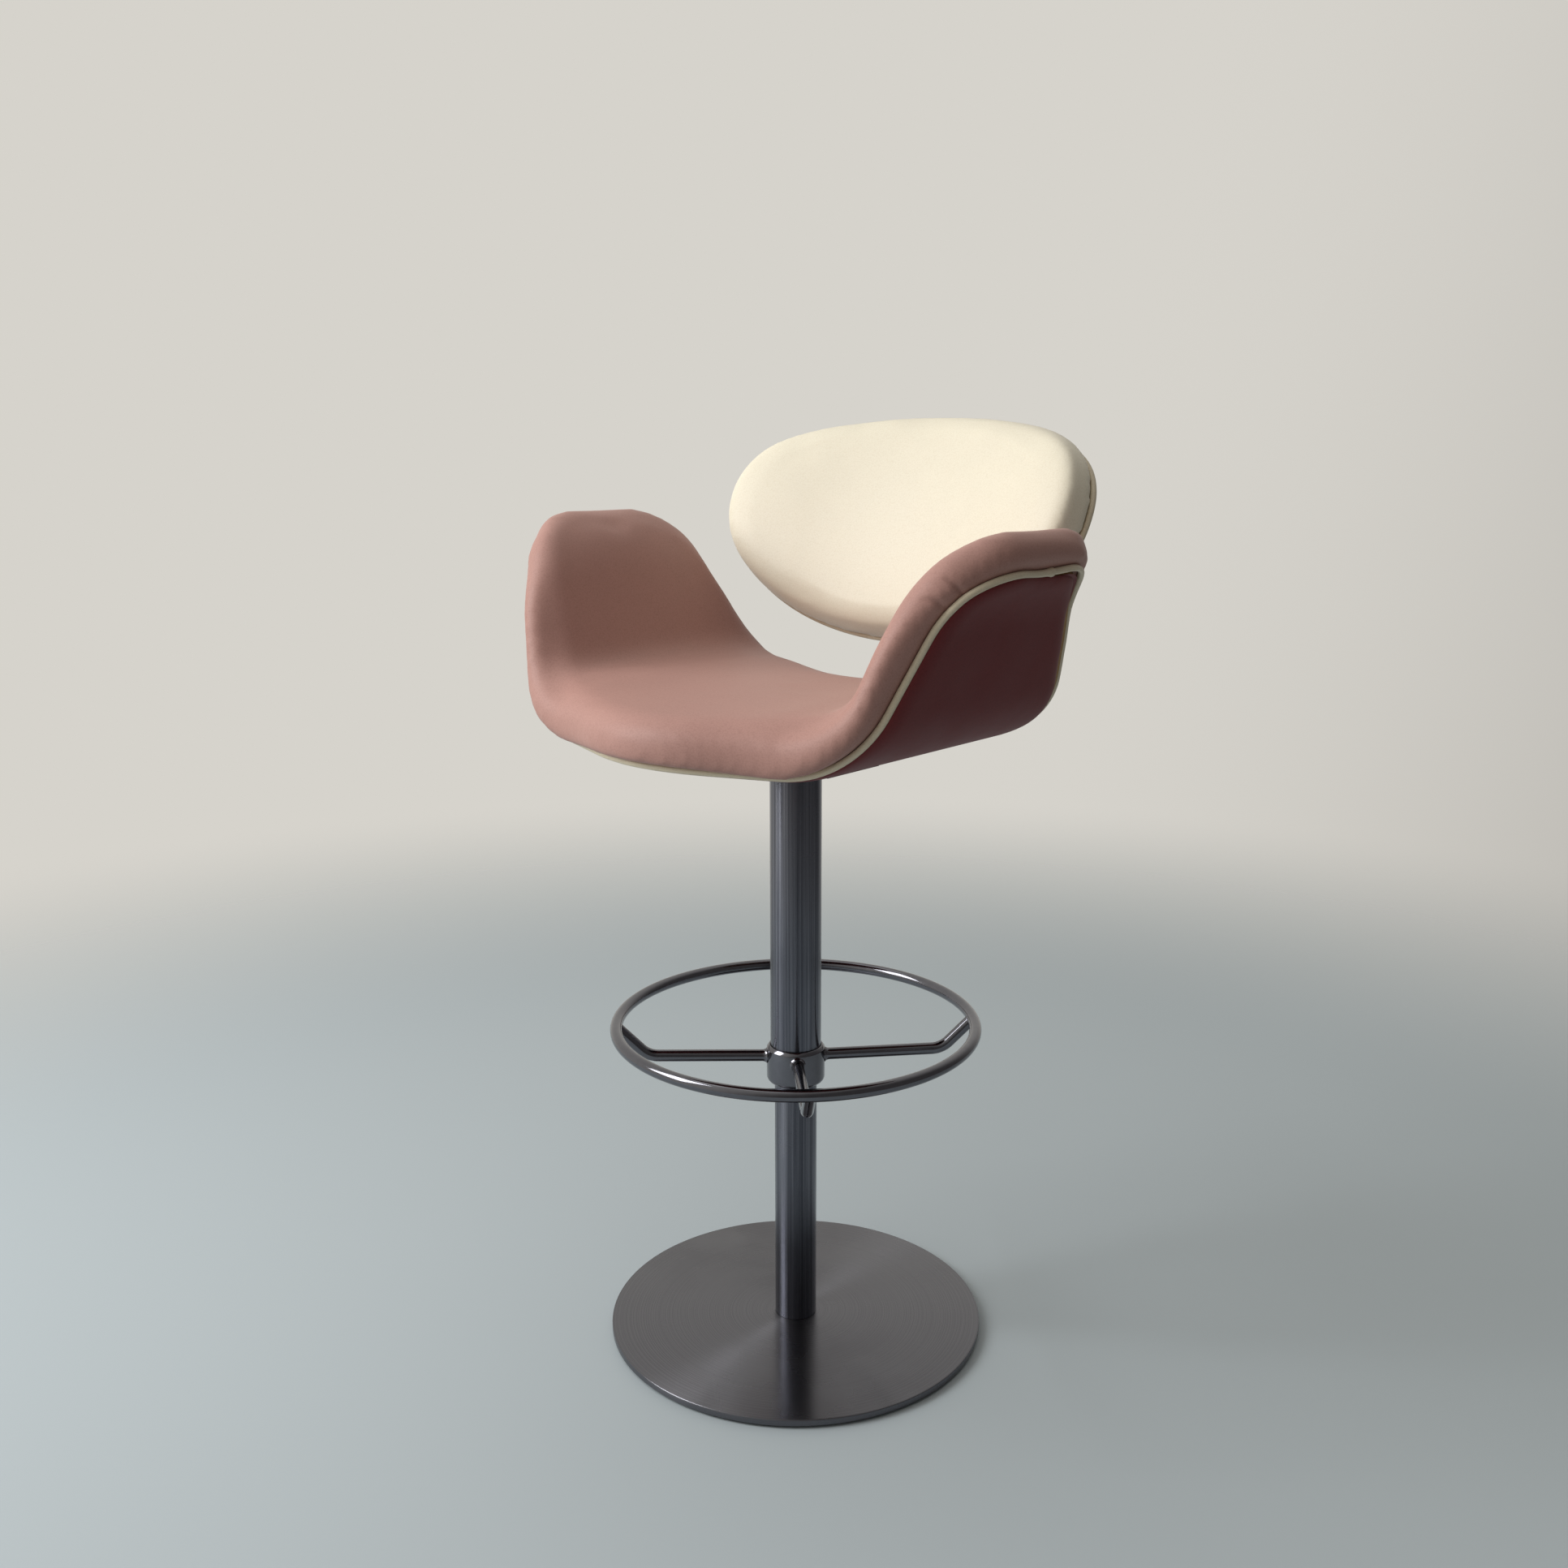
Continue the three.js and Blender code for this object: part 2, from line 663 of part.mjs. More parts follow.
function makeHousing() {
  const half = housingWidth / 2;
  const section = new THREE.Shape([
    [-half, housingBottom], [half, housingBottom], [half, flangeBottom],
    [half + flangeWidth, flangeBottom], [half + flangeWidth, flangeBottom + housingSheet],
    [half - housingSheet, flangeBottom + housingSheet], [half - housingSheet, housingBottom + housingSheet],
    [-half + housingSheet, housingBottom + housingSheet], [-half + housingSheet, flangeBottom + housingSheet],
    [-half - flangeWidth, flangeBottom + housingSheet], [-half - flangeWidth, flangeBottom],
    [-half, flangeBottom],
  ].map(([y, z]) => new THREE.Vector2(y, z)));
  const channel = new THREE.ExtrudeGeometry(section, { depth: housingLength, bevelEnabled: false });
  const alongX = new THREE.Vector3(1, 0, 0);
  const upright = new THREE.Vector3(0, 0, 1);
  const turn = new THREE.Matrix4().makeBasis(new THREE.Vector3(0, 1, 0), upright, alongX);
  channel.applyMatrix4(turn).translate(-housingLength / 2, 0, 0);
  const socketHole = rod(
    socketRadius + seatingGap, housingBottom - overrun, housingBottom + overrun, smallSides,
  );
  const pinHole = pivotRod(pivotPinRadius + slidingGap, half + overrun);
  const screwHoles = seatScrewPlaces().map(([x, y]) => (
    rod(screwRadius + seatingGap, flangeBottom - overrun, seatPlateTop, boltSides).translate(x, y, 0)
  ));
  add('mechanism_housing', cut(channel, [socketHole, pinHole, ...screwHoles]), finishes.blackSteel);

  const taperAt = (height) => {
    const share = (cylinderTop - height) / taperLength;
    return slidingGap + Math.min(taperTopRadius + (cylinderRadius - taperTopRadius) * share, cylinderRadius);
  };
  const socketBottom = housingBottom - socketBelow;
  const socket = turned([
    [taperAt(socketBottom), socketBottom], [socketRadius, socketBottom], [socketRadius, cylinderTop],
    [taperAt(cylinderTop), cylinderTop],
  ], smallSides);
  add('taper_socket', socket, finishes.blackSteel);
}

function makeSeatPlate() {
  const outline = roundedRectangle(seatPlateSize, seatPlateSize, seatPlateCorner);
  const plate = new THREE.ExtrudeGeometry(outline, {
    depth: seatPlateThickness, bevelEnabled: false, curveSegments: barSides / 2,
  });
  const holes = seatScrewPlaces().map(([x, y]) => (
    rod(screwRadius + seatingGap, -overrun, overrun, boltSides).translate(x, y, 0)
  ));
  add('seat_plate', cut(plate, holes).translate(0, 0, seatPlateBottom), finishes.blackSteel);
}

function makeSeatFasteners() {
  const bearing = flangeBottom - seatingGap;
  const length = shellTop - tNutFlange - bearing;
  const flangeTop = shellTop;
  seatScrewPlaces().forEach(([x, y], i) => {
    const bolt = screw(screwRadius, screwHeadRadius, screwHeadHeight, length).translate(x, y, bearing);
    add(`seat_screw_${i + 1}`, bolt, finishes.zincSteel);
    const nut = turned([
      [screwRadius + slidingGap, coverTop + layerGap], [tNutBarrelRadius, coverTop + layerGap],
      [tNutBarrelRadius, flangeTop - tNutFlange], [tNutFlangeRadius, flangeTop - tNutFlange],
      [tNutFlangeRadius, flangeTop], [screwRadius + slidingGap, flangeTop],
    ], boltSides);
    add(`t_nut_${i + 1}`, nut.translate(x, y, 0), finishes.zincSteel);
  });
}

// Release lever

function pivotRod(radius, halfLength) {
  return rod(radius, -halfLength, halfLength, boltSides).rotateX(Math.PI / 2)
    .translate(-leverPivotArm, 0, pinAxisHeight);
}

function makeLever() {
  const tongueBottom = releasePinTop + seatingGap;
  const tongueTop = tongueBottom + leverTongue;
  const blade = new THREE.Shape();
  blade.moveTo(leverTongueReach, tongueBottom);
  blade.lineTo(leverTongueReach, tongueTop);
  blade.lineTo(-leverPivotArm, tongueTop);
  const eyeEnd = 2 * Math.PI - leverEyeOpening;
  blade.absarc(-leverPivotArm, pinAxisHeight, leverEyeRadius, Math.PI / 2, eyeEnd, false);
  blade.lineTo(-leverPivotArm + 2 * leverEyeRadius, tongueBottom);
  const tongue = new THREE.ExtrudeGeometry(blade, {
    depth: leverTongueWidth, bevelEnabled: false, curveSegments: barSides,
  });
  tongue.rotateX(Math.PI / 2).translate(0, leverTongueWidth / 2, 0);

  const line = leverLine();
  const bar = new THREE.ExtrudeGeometry(circleShape(leverRadius, barSides), {
    extrudePath: line, steps: barSides, bevelEnabled: false,
  });
  const eye = pivotRod(pivotPinRadius + slidingGap, leverTongueWidth);
  add('release_lever', cut(join(tongue, bar), [eye]), finishes.polishedSteel);

  const end = line.getPoint(1);
  const direction = line.getTangent(1);
  const bore = leverRadius + slidingGap;
  const grip = turned([
    [0, seatingGap], [bore, seatingGap], [bore, gripWallEnd - gripLength],
    [gripRadius, gripWallEnd - gripLength], [gripRadius, 0],
    [gripRadius - gripBevel, gripWallEnd], [0, gripWallEnd],
  ], smallSides);
  add('lever_grip', aim(grip, direction, end), finishes.nylon);

  const half = housingWidth / 2 + seatingGap;
  const pin = turned([
    [0, -half - pivotHeadHeight], [pivotHeadRadius, -half - pivotHeadHeight], [pivotHeadRadius, -half],
    [pivotPinRadius, -half], [pivotPinRadius, half + pivotHeadHeight], [0, half + pivotHeadHeight],
  ], boltSides);
  pin.rotateX(Math.PI / 2).translate(-leverPivotArm, 0, pinAxisHeight);
  add('lever_pivot_pin', pin, finishes.zincSteel);
}

function leverLine() {
  return new THREE.CatmullRomCurve3([
    new THREE.Vector3(-leverPivotArm - leverRadius, 0, pinAxisHeight),
    new THREE.Vector3(-leverExit, 0, pinAxisHeight),
    new THREE.Vector3(-(leverExit + leverReach) / 2, 0, pinAxisHeight - leverDrop / 2),
    new THREE.Vector3(-leverReach, 0, pinAxisHeight - leverDrop),
  ]);
}

// Padded sheets. A pattern is a list of outline points, each with the point on the
// sheet's middle line that it is drawn to. A ring lies an inset from the outline, or a
// share of the way from there to the middle line, at a height over the sheet.

function ringPoints(pattern, bend, [inset, height, share = 0]) {
  return pattern.map(({ edge, middle }) => {
    const reach = edge.distanceTo(middle);
    const start = inset / reach;
    const place = edge.clone().lerp(middle, start + share * (1 - start));
    return bend(place.x, place.y, height);
  });
}

function stitchRings(rings, closed) {
  const count = rings[0].length;
  const geometry = new THREE.BufferGeometry().setFromPoints(rings.flat());
  const corners = [];
  const last = closed ? rings.length : rings.length - 1;
  for (let k = 0; k < last; k += 1) {
    const above = (k + 1) % rings.length;
    for (let i = 0; i < count; i += 1) {
      const next = (i + 1) % count;
      const [a, b] = [k * count + i, k * count + next];
      const [c, d] = [above * count + i, above * count + next];
      corners.push(a, b, d, a, d, c);
    }
  }
  geometry.setIndex(corners);
  return geometry;
}

function paddedSheet(pattern, bend, rings) {
  return stitchRings(rings.map((ring) => ringPoints(pattern, bend, ring)), false);
}

// A cushion: flat underside, sides drawn in towards the piping, a round roll and a crown
function cushionRings(thickness, crown, pipingInset) {
  const roll = thickness / 2;
  const [footInset, footHeight] = padFootShares;
  return [
    [0, 0, 1], [roll, 0], [pipingInset + padFootLip, 0], [pipingInset * footInset, thickness * footHeight],
    ...rollShares.map(([inset, height]) => [roll * inset, thickness * height]),
    ...crownShares.map(([share, height]) => [roll, thickness + crown * height, share]),
  ];
}

function shellRings(pipingInset) {
  const inset = pipingInset + shellFromPiping;
  const top = -layerGap;
  const bottom = top - shellThickness;
  return [[inset, bottom, 1], [inset, bottom], [inset, top], [inset, top, 1]];
}

// The outer cover turns up round the shell's edge and stops under the piping
function coverRings(pipingInset) {
  const top = -2 * layerGap - shellThickness;
  const bottom = top - coverThickness;
  const rim = -layerGap - 2 * pipingRadius - seatingGap;
  const inner = pipingInset + shellFromPiping - layerGap;
  return [
    [inner, bottom, 1],
    ...coverRimShares.map(([out, up]) => [pipingInset + coverRimWidth * out, bottom + (rim - bottom) * up]),
    [inner, rim], [inner, top], [inner, top, 1],
  ];
}

function pipingRings(pattern, bend, pipingInset) {
  const rings = Array.from({ length: pipingSides }, (_, i) => {
    const angle = (i / pipingSides) * 2 * Math.PI;
    const inset = pipingInset + pipingRadius * Math.cos(angle);
    return ringPoints(pattern, bend, [inset, -layerGap - pipingRadius + pipingRadius * Math.sin(angle)]);
  });
  return stitchRings(rings, true);
}

// Seat

function cornerDraw(station, corner) {
  const run = Math.min(Math.max(station - (petalHalfLength - corner), 0), corner);
  return corner - Math.sqrt(corner * corner - run * run);
}

function petalColumns() {
  const armBend = armBendRadius * armSlope;
  const cornerStart = petalHalfLength - armRearCorner;
  const zones = [
    [0, deckHalfWidth, deckColumns],
    [deckHalfWidth, deckHalfWidth + armBend, bendColumns],
    [deckHalfWidth + armBend, cornerStart, armColumns],
  ];
  const half = [0];
  zones.forEach(([from, to, count]) => {
    for (let i = 1; i <= count; i += 1) half.push(from + ((to - from) * i) / count);
  });
  for (let i = 1; i <= cornerColumns; i += 1) {
    half.push(cornerStart + armRearCorner * Math.sin((i / cornerColumns) * (Math.PI / 2)));
  }
  return half.slice(1).reverse().map((station) => -station).concat(half);
}

function seatPattern() {
  const columns = petalColumns();
  const frontEdge = (s) => {
    const station = Math.abs(s);
    return -seatFrontReach * smoothValue(frontEdgeShares, station / petalHalfLength)
      + cornerDraw(station, armFrontCorner);
  };
  const rearEdge = (s) => {
    const station = Math.abs(s);
    return seatRearReach * smoothValue(rearEdgeShares, station / petalHalfLength)
      - cornerDraw(station, armRearCorner);
  };
  const spineEnd = petalHalfLength - petalSpineInset;
  const middleOf = (s) => {
    const station = THREE.MathUtils.clamp(s, -spineEnd, spineEnd);
    return new THREE.Vector2(station, (frontEdge(station) + rearEdge(station)) / 2);
  };
  const point = (s, depth) => ({ edge: new THREE.Vector2(s, depth), middle: middleOf(s) });
  const tip = (s, from, to) => Array.from({ length: tipColumns - 1 }, (_, i) => (
    point(s, from + ((to - from) * (i + 1)) / tipColumns)
  ));
  const end = petalHalfLength;
  return [
    ...columns.map((s) => point(s, frontEdge(s))),
    ...tip(end, frontEdge(end), rearEdge(end)),
    ...columns.slice().reverse().map((s) => point(s, rearEdge(s))),
    ...tip(-end, rearEdge(end), frontEdge(end)),
  ];
}

// The sheet runs level, bends up, rises straight and flares out at the arm's tip
function seatBend(station, depth, height) {
  const side = station < 0 ? -1 : 1;
  const s = Math.abs(station);
  const bendEnd = deckHalfWidth + armBendRadius * armSlope;
  const straightEnd = bendEnd + armStraight;
  const bent = THREE.MathUtils.clamp(s - deckHalfWidth, 0, armBendRadius * armSlope) / armBendRadius;
  const straight = THREE.MathUtils.clamp(s - bendEnd, 0, armStraight);
  const flared = Math.max(s - straightEnd, 0) / armFlareRadius;
  const slope = bent - flared;
  const x = Math.min(s, deckHalfWidth) + armBendRadius * Math.sin(bent) + straight * Math.cos(armSlope)
    + armFlareRadius * (flared > 0 ? Math.sin(armSlope) - Math.sin(slope) : 0);
  const z = seatDeck + armBendRadius * (1 - Math.cos(bent)) + straight * Math.sin(armSlope)
    + armFlareRadius * (flared > 0 ? Math.cos(slope) - Math.cos(armSlope) : 0);
  return new THREE.Vector3(side * (x - Math.sin(slope) * height), depth, z + Math.cos(slope) * height);
}

function makeSeat() {
  const pattern = seatPattern();
  const cushion = paddedSheet(
    pattern, seatBend, cushionRings(seatPadThickness, seatPadCrown, seatPipingInset),
  );
  add('seat_cushion', cushion, finishes.pinkLeather);

  const nutSpace = turned([
    [0, coverBottom - overrun], [tNutBarrelRadius + seatingGap, coverBottom - overrun],
    [tNutBarrelRadius + seatingGap, shellTop - tNutFlange - seatingGap],
    [tNutFlangeRadius + seatingGap, shellTop - tNutFlange - seatingGap],
    [tNutFlangeRadius + seatingGap, shellTop + overrun], [0, shellTop + overrun],
  ], boltSides);
  const nutSpaces = seatScrewPlaces().map(([x, y]) => nutSpace.clone().translate(x, y, 0));
  const boltSpaces = spineBoltPlaces().map(([x, y]) => (
    rod(screwRadius + seatingGap, coverBottom - overrun, shellTop - layerGap, boltSides).translate(x, y, 0)
  ));
  const shell = paddedSheet(pattern, seatBend, shellRings(seatPipingInset));
  add('seat_shell', cut(shell, [...nutSpaces, ...boltSpaces]), finishes.plywood);

  const screwSpaces = seatScrewPlaces().map(([x, y]) => (
    rod(screwRadius + seatingGap, coverBottom - overrun, shellTop, boltSides).translate(x, y, 0)
  ));
  const cover = paddedSheet(pattern, seatBend, coverRings(seatPipingInset));
  add('seat_outer_cover', cut(cover, [...screwSpaces, ...boltSpaces]), finishes.burgundyLeather);
  add('seat_piping', pipingRings(pattern, seatBend, seatPipingInset), finishes.creamLeather);
}

// Back

const backUp = new THREE.Vector3(0, Math.sin(backRecline), Math.cos(backRecline));
const backForward = new THREE.Vector3(0, -Math.cos(backRecline), Math.sin(backRecline));

function backPlace(across, up, forward) {
  return new THREE.Vector3(across, backCentreDepth, backCentreHeight)
    .addScaledVector(backUp, up).addScaledVector(backForward, forward);
}

function backBend(across, up, height) {
  const turn = across / backCurveRadius;
  const radius = backCurveRadius - height;
  return backPlace(radius * Math.sin(turn), up, backCurveRadius - radius * Math.cos(turn));
}

function backPattern() {
  return Array.from({ length: backOutlineSides }, (_, i) => {
    const angle = ((i + 1 / 2) / backOutlineSides) * 2 * Math.PI;
    const [cosine, sine] = [Math.cos(angle), Math.sin(angle)];
    const reach = sine > 0 ? backRise : backDrop;
    const across = backHalfWidth * Math.sign(cosine) * Math.abs(cosine) ** backRoundnessShare;
    const up = reach * Math.sign(sine) * Math.abs(sine) ** backRoundnessShare;
    const middleEnd = backHalfWidth - backMiddleInset;
    const middle = new THREE.Vector2(THREE.MathUtils.clamp(across, -middleEnd, middleEnd), 0);
    return { edge: new THREE.Vector2(across, up), middle };
  });
}

function screwSpaceBehind(rise, reach) {
  const place = backPlace(0, rise, reach);
  return aim(rod(screwRadius + seatingGap, -columnDiameter, 0, boltSides), backForward, place);
}

function makeBack() {
  const pattern = backPattern();
  const cushion = paddedSheet(
    pattern, backBend, cushionRings(backPadThickness, backPadCrown, backPipingInset),
  );
  add('back_cushion', cushion, finishes.creamLeather);
  const screwSpaces = backScrewRises.map((rise) => screwSpaceBehind(rise, -2 * layerGap));
  const shell = paddedSheet(pattern, backBend, shellRings(backPipingInset));
  add('back_shell', cut(shell, screwSpaces), finishes.plywood);
  const cover = paddedSheet(pattern, backBend, coverRings(backPipingInset));
  add('back_outer_cover', cut(cover, screwSpaces), finishes.burgundyLeather);
  add('back_piping', pipingRings(pattern, backBend, backPipingInset), finishes.creamLeather);
}

// Spine

// The spine's centre line: level under the seat, up behind it, then along the back
class SpineLine extends RunLine {
  constructor(from = 0, length = 0) {
    super();
    const offset = coverBottom - seatDeck - seatingGap - spineThickness / 2;
    const onBack = backPlace(0, 0, offset);
    const cornerRise = (spineUpright - onBack.y) / backUp.y;
    const corner = backPlace(0, cornerRise, offset);
    const lean = spineLeanRadius * Math.tan(backRecline / 2);
    this.upright = corner.z - lean - spineFootHeight - spineBendRadius;
    this.level = spineUpright - spineBendRadius - spineFoot;
    this.runs = [
      this.level, spineBendRadius * (Math.PI / 2), this.upright,
      spineLeanRadius * backRecline, spineTopAboveCentre - cornerRise - lean,
    ];
    this.from = from;
    if (length > 0) this.markSteps([length], [1]);
    else this.markSteps(this.runs, [1, bendSteps, 1, bendSteps, 1]);
  }

  getPoint(t, target = new THREE.Vector3()) {
    let left = this.from + this.marks[this.stepCount] * t;
    const place = new THREE.Vector2(spineFoot, spineFootHeight);
    let heading = 0;
    [0, 1 / spineBendRadius, 0, -1 / spineLeanRadius, 0].forEach((curving, i) => {
      const run = i === this.runs.length - 1 ? left : Math.min(left, this.runs[i]);
      const next = heading + curving * run;
      if (curving === 0) {
        place.x += run * Math.cos(heading);
        place.y += run * Math.sin(heading);
      } else {
        place.x += (Math.sin(next) - Math.sin(heading)) / curving;
        place.y += (Math.cos(heading) - Math.cos(next)) / curving;
      }
      heading = next;
      left -= run;
    });
    return target.set(0, place.x, place.y);
  }
}

function spineBoltPlaces() {
  return [[-spineBoltSpacing / 2, spineBoltDepth], [spineBoltSpacing / 2, spineBoltDepth]];
}

function makeSpine() {
  const section = new THREE.Shape(rectangleCorners(spineThickness, spineWidth));
  const line = new SpineLine();
  const bar = new THREE.ExtrudeGeometry(section, {
    extrudePath: line, steps: line.stepCount, bevelEnabled: false,
  });
  const bearing = spineFootHeight - spineThickness / 2 - seatingGap;
  const boltSpaces = spineBoltPlaces().map(([x, y]) => (
    rod(screwRadius + seatingGap, bearing - overrun, shellTop, boltSides).translate(x, y, 0)
  ));
  const screwSpaces = backScrewRises.map((rise) => screwSpaceBehind(rise, -layerGap));
  add('back_spine', cut(bar, [...boltSpaces, ...screwSpaces]), finishes.blackSteel);

  const outline = roundedRectangle(sleeveThickness, sleeveWidth, sleeveCorner);
  const clearance = 2 * slidingGap;
  const space = rectangleCorners(spineThickness + clearance, spineWidth + clearance);
  outline.holes.push(new THREE.Path(space));
  const sleeve = new THREE.ExtrudeGeometry(outline, {
    extrudePath: new SpineLine(sleeveStart, sleeveLength), steps: 1, bevelEnabled: false, curveSegments: 2,
  });
  add('spine_sleeve', sleeve, finishes.burgundyLeather);

  spineBoltPlaces().forEach(([x, y], i) => {
    const length = shellTop - 2 * layerGap - bearing;
    const bolt = screw(screwRadius, screwHeadRadius, screwHeadHeight, length).translate(x, y, bearing);
    add(`spine_bolt_${i + 1}`, bolt, finishes.zincSteel);
  });
  const rearFace = coverBottom - seatDeck - seatingGap - spineThickness - seatingGap;
  backScrewRises.forEach((rise, i) => {
    const length = -rearFace - 3 * layerGap;
    const bolt = screw(screwRadius, screwHeadRadius, screwHeadHeight, length);
    add(`back_screw_${i + 1}`, aim(bolt, backForward, backPlace(0, rise, rearFace)), finishes.zincSteel);
  });
}

makeBase();
makeColumn();
makeThrustBearing();
makeGasLift();
makeOuterTube();
makeFootrest();
makeHousing();
makeSeatPlate();
makeSeatFasteners();
makeLever();
makeSeat();
makeBack();
makeSpine();

export default stool;
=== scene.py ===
"""The looks of a swivelling counter stool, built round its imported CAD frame.

A piece is shaped in millimetres and its mesh is scaled to metres when it is kept. The sitter
faces -Y, the column stands on the Z axis and the floor is at zero.
"""

import json
import logging
import math
from abc import ABC, abstractmethod
from dataclasses import dataclass, field
from enum import Enum
from functools import partial
from typing import Callable, ClassVar, Sequence

import bmesh
import bpy
import numpy as np
from mathutils import Matrix, Vector
from mathutils.kdtree import KDTree


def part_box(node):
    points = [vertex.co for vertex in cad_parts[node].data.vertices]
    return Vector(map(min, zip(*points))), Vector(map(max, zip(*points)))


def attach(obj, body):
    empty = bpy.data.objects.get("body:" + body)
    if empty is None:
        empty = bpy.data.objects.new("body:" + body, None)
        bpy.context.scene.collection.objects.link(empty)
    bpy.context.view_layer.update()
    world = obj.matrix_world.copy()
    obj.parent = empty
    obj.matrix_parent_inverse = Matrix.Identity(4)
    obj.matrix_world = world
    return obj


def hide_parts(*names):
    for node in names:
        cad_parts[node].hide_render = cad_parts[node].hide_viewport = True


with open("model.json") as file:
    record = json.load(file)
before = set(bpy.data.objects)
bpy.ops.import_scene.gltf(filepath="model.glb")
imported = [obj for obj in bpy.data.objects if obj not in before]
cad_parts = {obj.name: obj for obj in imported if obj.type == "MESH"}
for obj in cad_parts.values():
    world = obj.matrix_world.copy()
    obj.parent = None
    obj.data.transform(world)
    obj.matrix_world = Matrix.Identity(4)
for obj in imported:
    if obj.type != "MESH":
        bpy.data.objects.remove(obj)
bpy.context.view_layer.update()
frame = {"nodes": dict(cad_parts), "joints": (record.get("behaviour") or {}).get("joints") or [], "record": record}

log = logging.getLogger("counter_stool")

MM = 0.001
WELD = 0.01
FULL_TURN = 2 * math.pi
QUARTER_TURN = math.pi / 2
ROUND_STEPS = 160
TUBE_STEPS = 96
BAR_SIDES = 28
SHARP_ANGLE = math.radians(38)
NOISE_SPAN = (0.3, 0.7)

Height = float | Callable[[Vector], float]
Span = tuple[float, float]
Pairs = tuple[Span, ...]
Triple = tuple[float, float, float]
Outline = list[tuple[Vector, Vector]]
Inputs = dict[str | int, object]
Socket = bpy.types.NodeSocket
Tree = bpy.types.NodeTree
Material = bpy.types.Material
Mesh = bpy.types.Mesh
Piece = bpy.types.Object
BMesh = bmesh.types.BMesh


class Body(Enum):
    """The CAD bodies that pieces ride on."""

    BASE = "base"
    CARRIAGE = "carriage"
    LEVER = "lever"


class Slot(Enum):
    """The record's material slots."""

    DISC = "disc_steel"
    TUBE = "tube_steel"
    FOOTREST = "footrest_steel"
    ZINC = "zinc_steel"
    BLACK_STEEL = "black_steel"
    RUBBER = "black_rubber"
    NYLON = "black_nylon"
    PLYWOOD = "plywood"
    SEAT_PAD = "seat_pad"
    BACK_PAD = "back_pad"
    OUTER_LEATHER = "burgundy_leather"
    WELT_LEATHER = "cream_leather"


Wardrobe = dict[Slot, Material]


class Lay(Enum):
    """Which way a ground finish runs on a round piece."""

    RINGS = "rings on a flat disc, one further out than the next"
    LENGTHWISE = "lines along a tube"


def linear(hex_colour: str) -> tuple[float, ...]:
    """Turns an sRGB hex colour to the linear one that shaders take.

    Args:
        hex_colour: The colour as #RRGGBB.

    Returns:
        Linear red, green and blue, and an alpha of 1.
    """
    channels = [int(hex_colour[i:i + 2], 16) / 255 for i in (1, 3, 5)]
    red, green, blue = [c / 12.92 if c <= 0.04045 else ((c + 0.055) / 1.055) ** 2.4 for c in channels]
    return red, green, blue, 1.0


def bare_tree(owner: Material | bpy.types.World) -> Tree:
    """Switches a material's or a world's nodes on and clears them."""
    owner.use_nodes = True
    owner.node_tree.nodes.clear()
    return owner.node_tree


def plug(node: bpy.types.Node, inputs: Inputs) -> None:
    """Sets a node's inputs.

    Args:
        node: The node.
        inputs: A constant, or an output socket to link from, for each input.
    """
    for name, value in inputs.items():
        if isinstance(value, Socket):
            node.id_data.links.new(value, node.inputs[name])
        else:
            node.inputs[name].default_value = value


def add_node(
    tree: Tree, kind: str, inputs: Inputs | None = None, **settings: object,
) -> bpy.types.Node:
    """Adds one shader node.

    Args:
        tree: The node tree that it joins.
        kind: The node's type name after "ShaderNode".
        inputs: A constant, or an output socket to link from, for each input.
        settings: The node's own properties.

    Returns:
        The node.
    """
    node = tree.nodes.new(f"ShaderNode{kind}")
    for name, value in settings.items():
        setattr(node, name, value)
    plug(node, inputs or {})
    return node


